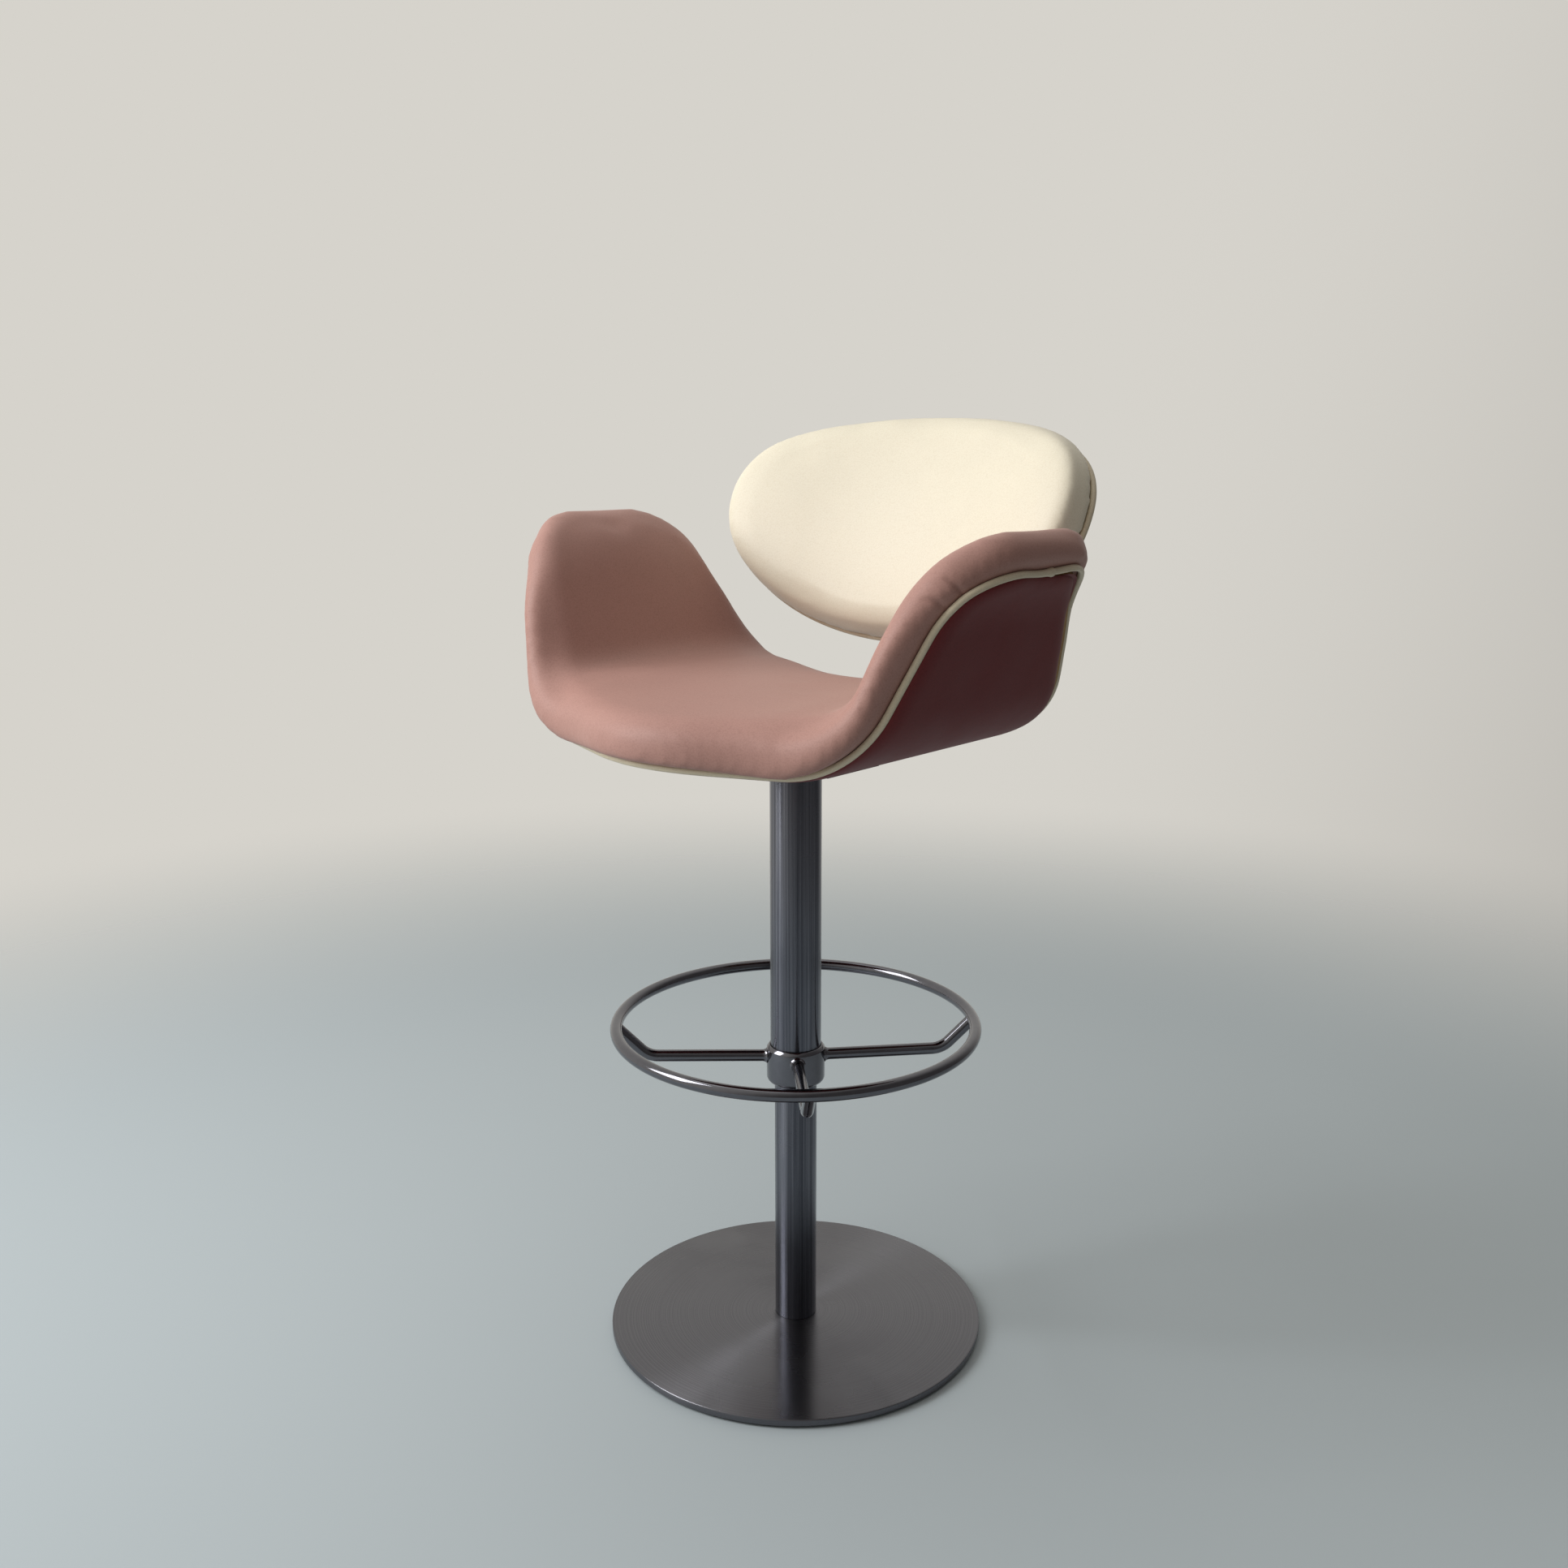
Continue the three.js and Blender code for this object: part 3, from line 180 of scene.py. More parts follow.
@dataclass(frozen=True)
class Patterns:
    """The patterns that finishes share, drawn over an object's own coordinates in metres."""

    tree: Tree
    place: Socket

    def stretched(self, scale: Triple) -> Socket:
        """The coordinates, drawn out along each axis whose scale is small."""
        return add_node(self.tree, "Mapping", {"Vector": self.place, "Scale": scale}).outputs["Vector"]

    def from_axis(self) -> Socket:
        """The distance from the Z axis."""
        flat = add_node(self.tree, "VectorMath", {0: self.place, 1: (1, 1, 0)}, operation="MULTIPLY")
        return add_node(self.tree, "VectorMath", {0: flat.outputs[0]}, operation="LENGTH").outputs["Value"]

    def noise(
        self, size_mm: float, detail: float, roughness: float = 0.5, place: Socket | None = None,
        dimensions: str = "3D",
    ) -> Socket:
        """Draws a noise.

        Args:
            size_mm: How far apart its features lie.
            detail: How many finer layers it has.
            roughness: How strong the finer layers are.
            place: The coordinates that it lies over, where they aren't the object's own.
            dimensions: 3D, or 1D for a noise over one coordinate.

        Returns:
            The noise, which lies mostly within NOISE_SPAN.
        """
        return add_node(self.tree, "TexNoise", {
            "W" if dimensions == "1D" else "Vector": self.place if place is None else place,
            "Scale": 1 / (size_mm * MM), "Detail": detail, "Roughness": roughness,
        }, noise_dimensions=dimensions).outputs["Fac"]

    def spread(
        self, value: Socket, low: float, high: float, span: Span = NOISE_SPAN, kind: str = "LINEAR",
    ) -> Socket:
        """Spreads a value's span over another one.

        Args:
            value: The value.
            low: What the span's start becomes.
            high: What its end becomes.
            span: The value's span.
            kind: How it runs from one to the other.

        Returns:
            The new value.
        """
        return add_node(self.tree, "MapRange", {
            "Value": value, "From Min": span[0], "From Max": span[1], "To Min": low, "To Max": high,
        }, interpolation_type=kind).outputs["Result"]

    def blend(self, share: Socket, first: str, second: str) -> Socket:
        """Goes from one hex colour to another as the share goes from 0 to 1."""
        return add_node(self.tree, "Mix", {
            0: share, 6: linear(first), 7: linear(second),
        }, data_type="RGBA").outputs[2]

    def brightened(self, colour: object, factor: Socket) -> Socket:
        """A colour made brighter or darker by a factor."""
        return add_node(self.tree, "HueSaturation", {"Color": colour, "Value": factor}).outputs["Color"]

    def bump(self, height: Socket, strength: float, depth_mm: float) -> Socket:
        """The normal over a relief of a given depth."""
        return add_node(self.tree, "Bump", {
            "Height": height, "Strength": strength, "Distance": depth_mm * MM,
        }).outputs["Normal"]


@dataclass(frozen=True)
class Finish(ABC):
    """What every finish has: a name, a colour and how rough it is."""

    name: str
    colour: str
    roughness: float

    def make(self) -> Material:
        """Makes the material.

        Returns:
            The material, with its nodes linked.
        """
        material = bpy.data.materials.new(self.name)
        tree = bare_tree(material)
        surface = add_node(tree, "BsdfPrincipled", {
            "Base Color": linear(self.colour), "Roughness": self.roughness,
        })
        place = add_node(tree, "TexCoord").outputs["Object"]
        plug(surface, self.paint(Patterns(tree, place)))
        add_node(tree, "OutputMaterial", {"Surface": surface.outputs["BSDF"]})
        return material

    @abstractmethod
    def paint(self, art: Patterns) -> Inputs:
        """Draws the finish's patterns.

        Args:
            art: Draws in the material's node tree.

        Returns:
            What each input of the surface becomes.
        """


@dataclass(frozen=True)
class GroundSteel(Finish):
    """Black-nickel plated steel, ground before plating. Light smears across a disc's rings, and along
    a tube, whose drawn lines break a reflection into upright streaks."""

    streak: str = "#6f7076"
    lay: Lay = Lay.LENGTHWISE
    line_mm: float = 0.9
    line_stretch: Triple = (1, 1, 0.004)
    line_span: Span = (0.35, 0.65)
    relief: float = 0.05
    relief_mm: float = 0.1
    cloud_mm: float = 1000 / 14
    cloud_span: Span = (-0.03, 0.04)
    anisotropy: float = 0.95

    def paint(self, art: Patterns) -> Inputs:
        """Draws the lines in the colour and the bump, and clouds in the roughness."""
        rings = self.lay is Lay.RINGS
        over = art.from_axis() if rings else art.stretched(self.line_stretch)
        lines = art.noise(self.line_mm, 3.0, 0.7, over, "1D" if rings else "3D")
        clouds = art.noise(self.cloud_mm, 3.0)
        return {
            "Base Color": art.blend(art.spread(lines, 0, 1, self.line_span), self.colour, self.streak),
            "Roughness": art.spread(clouds, *[self.roughness + change for change in self.cloud_span]),
            "Normal": art.bump(lines, self.relief, self.relief_mm),
            "Tangent": add_node(art.tree, "Tangent", direction_type="RADIAL", axis="Z").outputs["Tangent"],
            "Metallic": 1.0, "Anisotropic": self.anisotropy, "Anisotropic Rotation": 0.25,
        }


@dataclass(frozen=True)
class BarePlating(Finish):
    """Plated steel without a ground lay: polished bar, zinc on fasteners. Fine haze and handling marks."""

    haze: str = "#8c8a88"
    haze_mm: float = 9.0
    haze_shares: Span = (0.8, 1.3)
    tooth_mm: float = 0.5
    tooth_relief: float = 0.04

    def paint(self, art: Patterns) -> Inputs:
        """Draws a soft haze over the plating and a faint tooth in its gloss."""
        haze = art.noise(self.haze_mm, 4.0, 0.55)
        tooth = art.noise(self.tooth_mm, 1.0)
        return {
            "Base Color": art.blend(haze, self.colour, self.haze),
            "Roughness": art.spread(haze, *[self.roughness * share for share in self.haze_shares]),
            "Normal": art.bump(tooth, self.tooth_relief, self.tooth_relief),
            "Metallic": 1.0,
        }


@dataclass(frozen=True)
class CoatedSurface(Finish):
    """Powder coat, moulded nylon and rubber: a dull skin with a fine pebbled texture."""

    pebble_mm: float = 0.7
    # Painted light and shade: these shares make the pebbles' tops lighter and their hollows darker.
    pebble_light_shares: Span = (0.85, 1.2)
    relief: float = 0.25
    relief_mm: float = 0.1

    def paint(self, art: Patterns) -> Inputs:
        """Draws the pebbles, with painted light on their tops and painted shade between them."""
        pebbles = art.noise(self.pebble_mm, 2.0)
        return {
            "Base Color": art.brightened(linear(self.colour), art.spread(pebbles, *self.pebble_light_shares)),
            "Normal": art.bump(pebbles, self.relief, self.relief_mm),
        }


@dataclass(frozen=True)
class BentPlywood(Finish):
    """Beech veneers glued and bent: pale wood with a long, darker figure."""

    late_wood: str = "#8f6a42"
    figure_mm: float = 3.0
    figure_stretch: Triple = (0.06, 1, 1)
    relief: float = 0.15
    relief_mm: float = 0.2

    def paint(self, art: Patterns) -> Inputs:
        """Draws the long figure along X."""
        figure = art.noise(self.figure_mm, 4.0, place=art.stretched(self.figure_stretch))
        return {
            "Base Color": art.blend(figure, self.colour, self.late_wood),
            "Normal": art.bump(figure, self.relief, self.relief_mm),
        }


@dataclass(frozen=True)
class Leather(Finish):
    """Corrected-grain upholstery leather: an even pigmented colour, a soft satin gloss and a fine
    pebbled grain whose valleys are darkened with painted shade."""

    # The valley colour and its share paint shade into the grain's valleys.
    valley: str = "#000000"
    valley_shade_share: float = 0.3
    cell_span: Span = (0.25, 0.75)
    grain_mm: float = 1.5
    grain_relief: float = 0.12
    grain_depth_mm: float = 0.25
    mottle_mm: float = 1000 / 22
    mottle_shares: Span = (0.985, 1.015)
    gloss_change: float = 0.03
    sheen: float = 0.15
    gloss: float = 0.5

    def paint(self, art: Patterns) -> Inputs:
        """Draws the grain. Real grain is about 0.6 mm, drawn coarser so that a pixel can hold it."""
        cells = add_node(art.tree, "TexVoronoi", {
            "Vector": art.place, "Scale": 1 / (self.grain_mm * MM), "Randomness": 0.9,
        }, feature="SMOOTH_F1").outputs["Distance"]
        fibres = art.noise(self.grain_mm / 2, 2.0)
        mottle = art.noise(self.mottle_mm, 3.0)
        # Painted shade: the grain's valleys are darkened towards the valley colour.
        valley_shade = art.spread(cells, 0, self.valley_shade_share, self.cell_span)
        relief = add_node(art.tree, "Math", {0: cells, 1: fibres}, operation="SUBTRACT").outputs["Value"]
        return {
            "Base Color": art.brightened(
                art.blend(valley_shade, self.colour, self.valley), art.spread(mottle, *self.mottle_shares),
            ),
            "Roughness": art.spread(
                mottle, self.roughness - self.gloss_change, self.roughness + self.gloss_change,
            ),
            "Normal": art.bump(relief, self.grain_relief, self.grain_depth_mm),
            "IOR": 1.5, "Specular IOR Level": self.gloss,
            "Sheen Weight": self.sheen, "Sheen Roughness": 0.4,
        }


def make_wardrobe() -> Wardrobe:
    """Makes every finish once.

    Returns:
        The material for each slot.
    """
    finishes: dict[Slot, Finish] = {
        Slot.DISC: GroundSteel(
            "black_nickel_disc", "#66666c", 0.26, streak="#77777c", lay=Lay.RINGS, line_mm=1.1),
        Slot.TUBE: GroundSteel(
            "black_nickel_tube", "#585a63", 0.25, streak="#84868f", line_mm=2.4, relief=0.25),
        Slot.FOOTREST: BarePlating("polished_black_nickel", "#69696f", 0.11, haze="#75757b"),
        Slot.ZINC: BarePlating("zinc_plated_steel", "#a9abad", 0.38, haze="#c2c3c2", haze_mm=4.0),
        Slot.BLACK_STEEL: CoatedSurface("black_powder_coat", "#26272a", 0.5),
        Slot.RUBBER: CoatedSurface("moulded_rubber", "#1d1d1f", 0.8, pebble_mm=1.2),
        Slot.NYLON: CoatedSurface("moulded_nylon", "#2b2c2f", 0.42, pebble_mm=0.5, relief=0.12),
        Slot.PLYWOOD: BentPlywood("bent_beech_plywood", "#b58e5c", 0.6),
        # Each leather's valley colour is painted shade for its grain's valleys.
        Slot.SEAT_PAD: Leather(
            "dusty_pink_leather", "#b48a80", 0.54, valley="#8f665e", sheen=0.06, gloss=0.32),
        Slot.BACK_PAD: Leather("cream_pad_leather", "#ece5d1", 0.5, valley="#d3c6aa", sheen=0.08),
        Slot.OUTER_LEATHER: Leather(
            "burgundy_leather", "#702a2c", 0.55, valley="#4a1a1b", sheen=0.02, gloss=0.25),
        Slot.WELT_LEATHER: Leather("cream_welt_leather", "#dcd0b6", 0.5, valley="#b5a88b", grain_mm=1.0),
    }
    return {slot: finish.make() for slot, finish in finishes.items()}


def dress_frame(wardrobe: Wardrobe) -> None:
    """Gives every CAD node its slot's finish.

    Args:
        wardrobe: The material for each slot.
    """
    for subpart in frame["record"]["subparts"]:
        node = frame["nodes"][subpart["node"]]
        for holder in node.material_slots:
            holder.link = "OBJECT"
            holder.material = wardrobe[Slot(subpart["material_slot"])]


def corners(node: str) -> tuple[Vector, Vector]:
    """A CAD node's lowest and highest corners in millimetres."""
    low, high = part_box(node)
    return low / MM, high / MM


def put(name: str, data: bpy.types.ID) -> Piece:
    """Puts an object with a mesh, a camera or a lamp into the scene."""
    thing = bpy.data.objects.new(name, data)
    bpy.context.scene.collection.objects.link(thing)
    return thing


def to_mesh(name: str, bm: BMesh) -> Mesh:
    """Turns a bmesh into a mesh.

    Args:
        name: The mesh's name.
        bm: The bmesh, which is freed.

    Returns:
        The mesh.
    """
    mesh = bpy.data.meshes.new(name)
    bm.to_mesh(mesh)
    bm.free()
    return mesh


class Sweep:
    """A skin that is drawn by carrying a closed loop of vertices along."""

    def __init__(self, places: Sequence[Vector]) -> None:
        """Starts the loop.

        Args:
            places: A place for each vertex, in order.
        """
        self.bm = bmesh.new()
        self.loop = [self.bm.verts.new(place) for place in places]
        for pair in self.pairs():
            self.bm.edges.new(pair)

    def pairs(self) -> list[tuple[bmesh.types.BMVert, bmesh.types.BMVert]]:
        """Each vertex of the loop with the next one."""
        return list(zip(self.loop, self.loop[1:] + self.loop[:1]))

    def centre(self) -> Vector:
        """The middle of the loop."""
        return sum((vert.co for vert in self.loop), Vector()) / len(self.loop)

    def draw(self, places: Sequence[Vector]) -> None:
        """Extrudes the loop and moves each new vertex to its place.

        Args:
            places: A place for each vertex, in the loop's order.
        """
        edges = [self.bm.edges.get(pair) for pair in self.pairs()]
        made = bmesh.ops.extrude_edge_only(self.bm, edges=edges)["geom"]
        fresh = {part for part in made if isinstance(part, bmesh.types.BMVert)}
        self.loop = [
            next(edge.other_vert(vert) for edge in vert.link_edges if edge.other_vert(vert) in fresh)
            for vert in self.loop
        ]
        for vert, place in zip(self.loop, places):
            vert.co = place

    def straight(self, step: Vector, widen: float = 1.0) -> None:
        """Carries the loop straight on.

        Args:
            step: How far and which way it moves.
            widen: How many times wider it gets.
        """
        centre = self.centre()
        self.draw([centre + step + (vert.co - centre) * widen for vert in self.loop])

    def bend(self, pivot: Vector, axis: Vector, angle: float, steps: int) -> None:
        """Carries the loop round a bend.

        Args:
            pivot: The bend's centre.
            axis: The direction that it turns about.
            angle: How far it turns, in radians.
            steps: How many steps the bend has.
        """
        for _ in range(steps):
            turn = Matrix.Rotation(angle / steps, 3, axis)
            self.draw([pivot + turn @ (vert.co - pivot) for vert in self.loop])

    def cap(self) -> None:
        """Closes the skin's end with one face."""
        bmesh.ops.contextual_create(self.bm, geom=self.loop)


def turned(profile: Sequence[Span], closed: bool = False, steps: int = ROUND_STEPS) -> BMesh:
    """Spins a profile about the Z axis.

    Args:
        profile: Points of radius and height, in millimetres.
        closed: Whether the last point joins the first, as on a ring or a tube.
        steps: How many steps the full turn has.

    Returns:
        The turned mesh.
    """
    bm = bmesh.new()
    verts = [bm.verts.new((radius, 0, height)) for radius, height in profile]
    pairs = list(zip(verts, verts[1:]))
    if closed:
        pairs.append((verts[-1], verts[0]))
    edges = [bm.edges.new(pair) for pair in pairs]
    bmesh.ops.spin(
        bm, geom=verts + edges, cent=(0, 0, 0), axis=(0, 0, 1), dvec=(0, 0, 0), angle=FULL_TURN,
        steps=steps, use_merge=True, use_duplicate=False,
    )
    bmesh.ops.remove_doubles(bm, verts=bm.verts, dist=WELD)
    bmesh.ops.recalc_face_normals(bm, faces=bm.faces)
    return bm


def round_edges(bm: BMesh, width: float, segments: int = 3, sharper: float = 30.0) -> None:
    """Bevels every edge that is sharper than an angle.

    Args:
        bm: The mesh.
        width: The bevel's width in millimetres.
        segments: How many faces the bevel has across.
        sharper: The least angle, in degrees, between the faces at an edge that is bevelled.
    """
    limit = math.radians(sharper)
    edges = [edge for edge in bm.edges if edge.is_manifold and edge.calc_face_angle(0) > limit]
    bmesh.ops.bevel(
        bm, geom=edges, offset=width, offset_type="OFFSET", affect="EDGES", segments=segments,
        profile=0.5, material=-1, clamp_overlap=True,
    )


def washer(bore: float, low: Vector, high: Vector) -> list[Span]:
    """The profile of a tube or a ring that fills a CAD box, down to its bore's radius."""
    return [(bore, low.z), (high.x, low.z), (high.x, high.z), (bore, high.z)]


def circle(radius: float, sides: int = BAR_SIDES) -> list[Span]:
    """The corners of a round section about its centre."""
    angles = [FULL_TURN * i / sides for i in range(sides)]
    return [(radius * math.cos(angle), radius * math.sin(angle)) for angle in angles]


def round_section(radius: float, centre: Vector, along: Vector) -> list[Vector]:
    """A round bar's section.

    Args:
        radius: The bar's radius.
        centre: The section's centre.
        along: The bar's direction there.

    Returns:
        The section's corners in order.
    """
    stand = along.to_track_quat("Z", "Y")
    return [centre + stand @ Vector((*corner, 0)) for corner in circle(radius)]


@dataclass
class SubAssembly(ABC):
    """A group of pieces that are built and dressed together."""

    made: dict[str, tuple[Piece, Slot]] = field(default_factory=dict, init=False, repr=False)

    @abstractmethod
    def build(self) -> None:
        """Builds the group's pieces."""

    def keep(
        self, name: str, bm: BMesh, body: Body, slot: Slot, *nodes: str, sharp: float = SHARP_ANGLE,
    ) -> Piece:
        """Turns a finished bmesh into a piece that rides on a body.

        Args:
            name: The piece's name.
            bm: Its mesh in millimetres, which is freed.
            body: The body that it rides on.
            slot: The record's slot for its finish.
            nodes: The CAD nodes that it stands for.
            sharp: The angle past which an edge shows as an edge.

        Returns:
            The piece.
        """
        bmesh.ops.remove_doubles(bm, verts=bm.verts, dist=WELD)
        bmesh.ops.recalc_face_normals(bm, faces=bm.faces)
        bmesh.ops.scale(bm, vec=(MM, MM, MM), verts=bm.verts)
        mesh = to_mesh(name, bm)
        mesh.shade_smooth()
        mesh.set_sharp_from_angle(angle=sharp)
        piece = put(name, mesh)
        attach(piece, body.value)
        if nodes:
            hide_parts(*nodes)
        self.made[name] = (piece, slot)
        log.info("%s: %d faces, on body %s", name, len(mesh.polygons), body.value)
        return piece

    def dress(self, wardrobe: Wardrobe) -> None:
        """Gives each piece its finish.

        Args:
            wardrobe: The material for each slot.
        """
        for piece, slot in self.made.values():
            piece.data.materials.append(wardrobe[slot])


@dataclass
class Base(SubAssembly):
    """The turned steel disc and the rubber ring that it stands on."""

    edge_round: float = 1.3
    glide_width: float = 14.0
    glide_round: float = 0.6

    def build(self) -> None:
        """Turns the disc and the ring and rounds their rims."""
        low, high = corners("base_plate")
        disc = turned(washer(0, low, high))
        round_edges(disc, self.edge_round)
        self.keep("base_disc", disc, Body.BASE, Slot.DISC, "base_plate")

        low, high = corners("floor_glide_ring")
        glide = turned(washer(high.x - self.glide_width, low, high), closed=True)
        round_edges(glide, self.glide_round, segments=2)
        self.keep("floor_glide", glide, Body.BASE, Slot.RUBBER, "floor_glide_ring")


@dataclass
class Column(SubAssembly):
    """The lower tube, the wider tube that slides over it and the collar that holds the footrest."""

    lower_wall: float = 2.0
    upper_wall: float = 1.5
    edge_round: float = 0.5
    collar_top: Span = (3.0, 4.0)
    collar_bottom: float = 7.0
    collar_bottom_steps: int = 6
    collar_lip: float = 4.0
    collar_play: float = 0.3

    def build_tube(self, name: str, node: str, wall: float, body: Body) -> None:
        """Turns a tube and rounds its ends' edges.

        Args:
            name: The piece's name.
            node: The CAD node that it stands for.
            wall: Its wall in millimetres.
            body: The body that it rides on.
        """
        low, high = corners(node)
        tube = turned(washer(high.x - wall, low, high), True, TUBE_STEPS)
        round_edges(tube, self.edge_round, segments=2)
        self.keep(name, tube, body, Slot.TUBE, node)

    def build(self) -> None:
        """Builds both tubes and the collar."""
        self.build_tube("lower_column", "column_tube", self.lower_wall, Body.BASE)
        self.build_tube("upper_column", "upper_tube", self.upper_wall, Body.CARRIAGE)

        low, high = corners("footrest_collar")
        outer, lip = high.x, low.z + self.collar_lip
        bore = corners("upper_tube")[1].x + self.collar_play
        mouth = corners("column_tube")[1].x + self.collar_play
        steps = self.collar_bottom_steps
        turns = [QUARTER_TURN * i / steps for i in range(steps + 1)]
        rounding = self.collar_bottom
        foot = [
            (outer - rounding * (1 - math.sin(turn)), low.z + rounding * (1 - math.cos(turn)))
            for turn in turns
        ]
        chamfer_in, chamfer_down = self.collar_top
        collar = turned([
            (mouth, low.z), *foot, (outer, high.z - chamfer_down), (outer - chamfer_in, high.z),
            (bore, high.z), (bore, lip), (mouth, lip),
        ], True, TUBE_STEPS)
        round_edges(collar, self.edge_round, segments=2)
        self.keep("collar", collar, Body.CARRIAGE, Slot.FOOTREST, "footrest_collar")


@dataclass
class Footrest(SubAssembly):
    """The ring, its four bent spokes and the weld fillets at the spokes' roots."""

    spoke_radius: float = 7.0
    spoke_count: int = 4
    root_height: float = 345.0
    rise: float = math.radians(1.4)
    kick: float = math.radians(45.0)
    bend_radius: float = 30.0
    bend_steps: int = 10
    root_depth: float = 4.0
    fillet_shares: Pairs = ((0.16, 1.18), (0.18, 1.08), (0.22, 1.02), (0.3, 1.0))
    fillet_start: float = 1.34

    def ring_circle(self) -> Triple:
        """The ring's radius and height at its bar's centre, and its bar's radius."""
        low, high = corners("footrest_ring")
        bar = (high.z - low.z) / 2
        return high.x - bar, (low.z + high.z) / 2, bar

    def spoke(self, turn: float) -> BMesh:
        """Bends one spoke.

        Args:
            turn: The spoke's angle about the column.

        Returns:
            The spoke, with its fillet at the collar.
        """
        ring_radius, ring_height, _ = self.ring_circle()
        kick_run = ring_height - self.root_height
        corner_out = (ring_radius - kick_run / math.tan(self.kick)) / (1 - math.tan(self.rise))
        tangent = self.bend_radius * math.tan((self.kick - self.rise) / 2)
        out = Vector((math.cos(self.rise), 0, math.sin(self.rise)))
        corner = Vector((corner_out, 0, self.root_height + corner_out * math.tan(self.rise)))
        end = Vector((ring_radius, 0, ring_height))
        collar = corners("footrest_collar")[1].x
        root = corner - out * (corner_out - collar + self.root_depth)

        bar = Sweep(round_section(self.spoke_radius * self.fillet_start, root, out))
        bar.cap()
        bar.straight(out * self.root_depth)
        width = self.fillet_start
        for share, size in self.fillet_shares:
            bar.straight(out * (share * self.spoke_radius), size / width)
            width = size
        bar.straight(out * ((corner - bar.centre()).length - tangent))
        pivot = corner - out * tangent + Vector((-out.z, 0, out.x)) * self.bend_radius
        bar.bend(pivot, Vector((0, -1, 0)), self.kick - self.rise, self.bend_steps)
        bar.straight(end - bar.centre())
        bar.cap()
        bmesh.ops.rotate(bar.bm, cent=(0, 0, 0), matrix=Matrix.Rotation(turn, 3, "Z"), verts=bar.bm.verts)
        return bar.bm

    def build(self) -> None:
        """Builds the ring and the spokes."""
        radius, height, bar = self.ring_circle()
        section = [(radius + out, height + up) for out, up in circle(bar)]
        self.keep("foot_ring", turned(section, True), Body.CARRIAGE, Slot.FOOTREST, "footrest_ring")
        for i in range(self.spoke_count):
            turn = FULL_TURN * (i + 0.5) / self.spoke_count
            node = f"footrest_spoke_{i + 1}"
            self.keep(f"spoke_{i + 1}", self.spoke(turn), Body.CARRIAGE, Slot.FOOTREST, node)


@dataclass
class ReleaseLever(SubAssembly):
    """The lever's tongue and bar, and the moulded grip on its end."""

    bar_radius: float = 4.0
    pivot_out: float = 36.0
    exit_out: float = 92.0
    overlap: float = 2.0
    drop: float = 9.0
    bend_radius: float = 296.0
    bend_steps: int = 6
    tongue_width: float = 14.0
    tongue_reach: float = 7.0
    tongue_thickness: float = 3.0
    edge_round: float = 0.5
    grip_radius: float = 6.5
    grip_length: float = 74.0
    grip_play: float = 0.3
    grip_sides: int = 48
    nose: Pairs = ((6.5, 3.0), (3.4, 3.0), (1.2, 1.8), (0, -1.0))
    first_rib: float = 8.0
    rib_count: int = 5
    rib_pitch: float = 6.0
    rib_shares: Pairs = ((0, 0), (1, 1.0), (1, 2.2), (0, 3.2))
    rib_depth: float = 0.7
    tail: Span = (6.0, 4.0)
    tail_chamfer: float = 1.0

    def grip(self) -> BMesh:
        """Turns the grip about Z: its nose, its ribs and its bored end.

        Returns:
            The grip, which reaches down from its nose.
        """
        profile = [(self.grip_radius - inward, up) for inward, up in self.nose]
        for i in range(self.rib_count):
            top = -self.first_rib - i * self.rib_pitch
            profile += [
                (self.grip_radius - deep * self.rib_depth, top - down) for deep, down in self.rib_shares
            ]
        shoulder, end = [up - self.grip_length for up in self.tail]
        profile += [(self.grip_radius, shoulder), (self.grip_radius - self.tail_chamfer, end),
                    (self.bar_radius + self.grip_play, end)]
        return turned(profile, steps=self.grip_sides)

    def build(self) -> None:
        """Builds the lever and its grip."""
        low, high = corners("release_lever")
        axis_height = next(j for j in frame["joints"] if j["name"] == "lever_tilt")["pos_m"][2] / MM
        level = Vector((-1, 0, 0))
        start = Vector((-self.pivot_out - self.overlap, 0, axis_height))
        bar = Sweep(round_section(self.bar_radius, start, level))
        bar.cap()
        bar.straight(level * (self.exit_out - self.pivot_out))
        fall = math.atan2(self.drop, -low.x - self.exit_out)
        pivot = Vector((-self.exit_out - self.overlap, 0, axis_height - self.bend_radius))
        bar.bend(pivot, Vector((0, -1, 0)), fall, self.bend_steps)
        along = Vector((-math.cos(fall), 0, -math.sin(fall)))
        bar.straight(along * ((low.x - bar.centre().x) / along.x))
        end = bar.centre()
        bar.cap()

        tongue = bmesh.ops.create_cube(bar.bm, size=1)["verts"]
        length = self.pivot_out + self.tongue_reach
        bmesh.ops.scale(bar.bm, vec=(length, self.tongue_width, self.tongue_thickness), verts=tongue)
        middle = Vector((self.tongue_reach - length / 2, 0, high.z - self.tongue_thickness / 2))
        bmesh.ops.translate(bar.bm, vec=middle, verts=tongue)
        round_edges(bar.bm, self.edge_round, segments=2, sharper=60)
        self.keep("release_bar", bar.bm, Body.LEVER, Slot.FOOTREST, "release_lever")

        grip = self.grip()
        turn = along.to_track_quat("Z", "Y").to_matrix()
        bmesh.ops.rotate(grip, cent=(0, 0, 0), matrix=turn, verts=grip.verts)
        bmesh.ops.translate(grip, vec=end, verts=grip.verts)
        self.keep("lever_handle", grip, Body.LEVER, Slot.NYLON, "lever_grip")


def grow(value: float, span: Span) -> float:
    """Rises smoothly from 0 at a span's start to 1 at its end."""
    t = min(max((value - span[0]) / (span[1] - span[0]), 0.0), 1.0)
    return t * t * (3 - 2 * t)


def fade(value: float, span: Span) -> float:
    """Falls smoothly from 1 at a span's start to 0 at its end."""
    return 1 - grow(value, span)


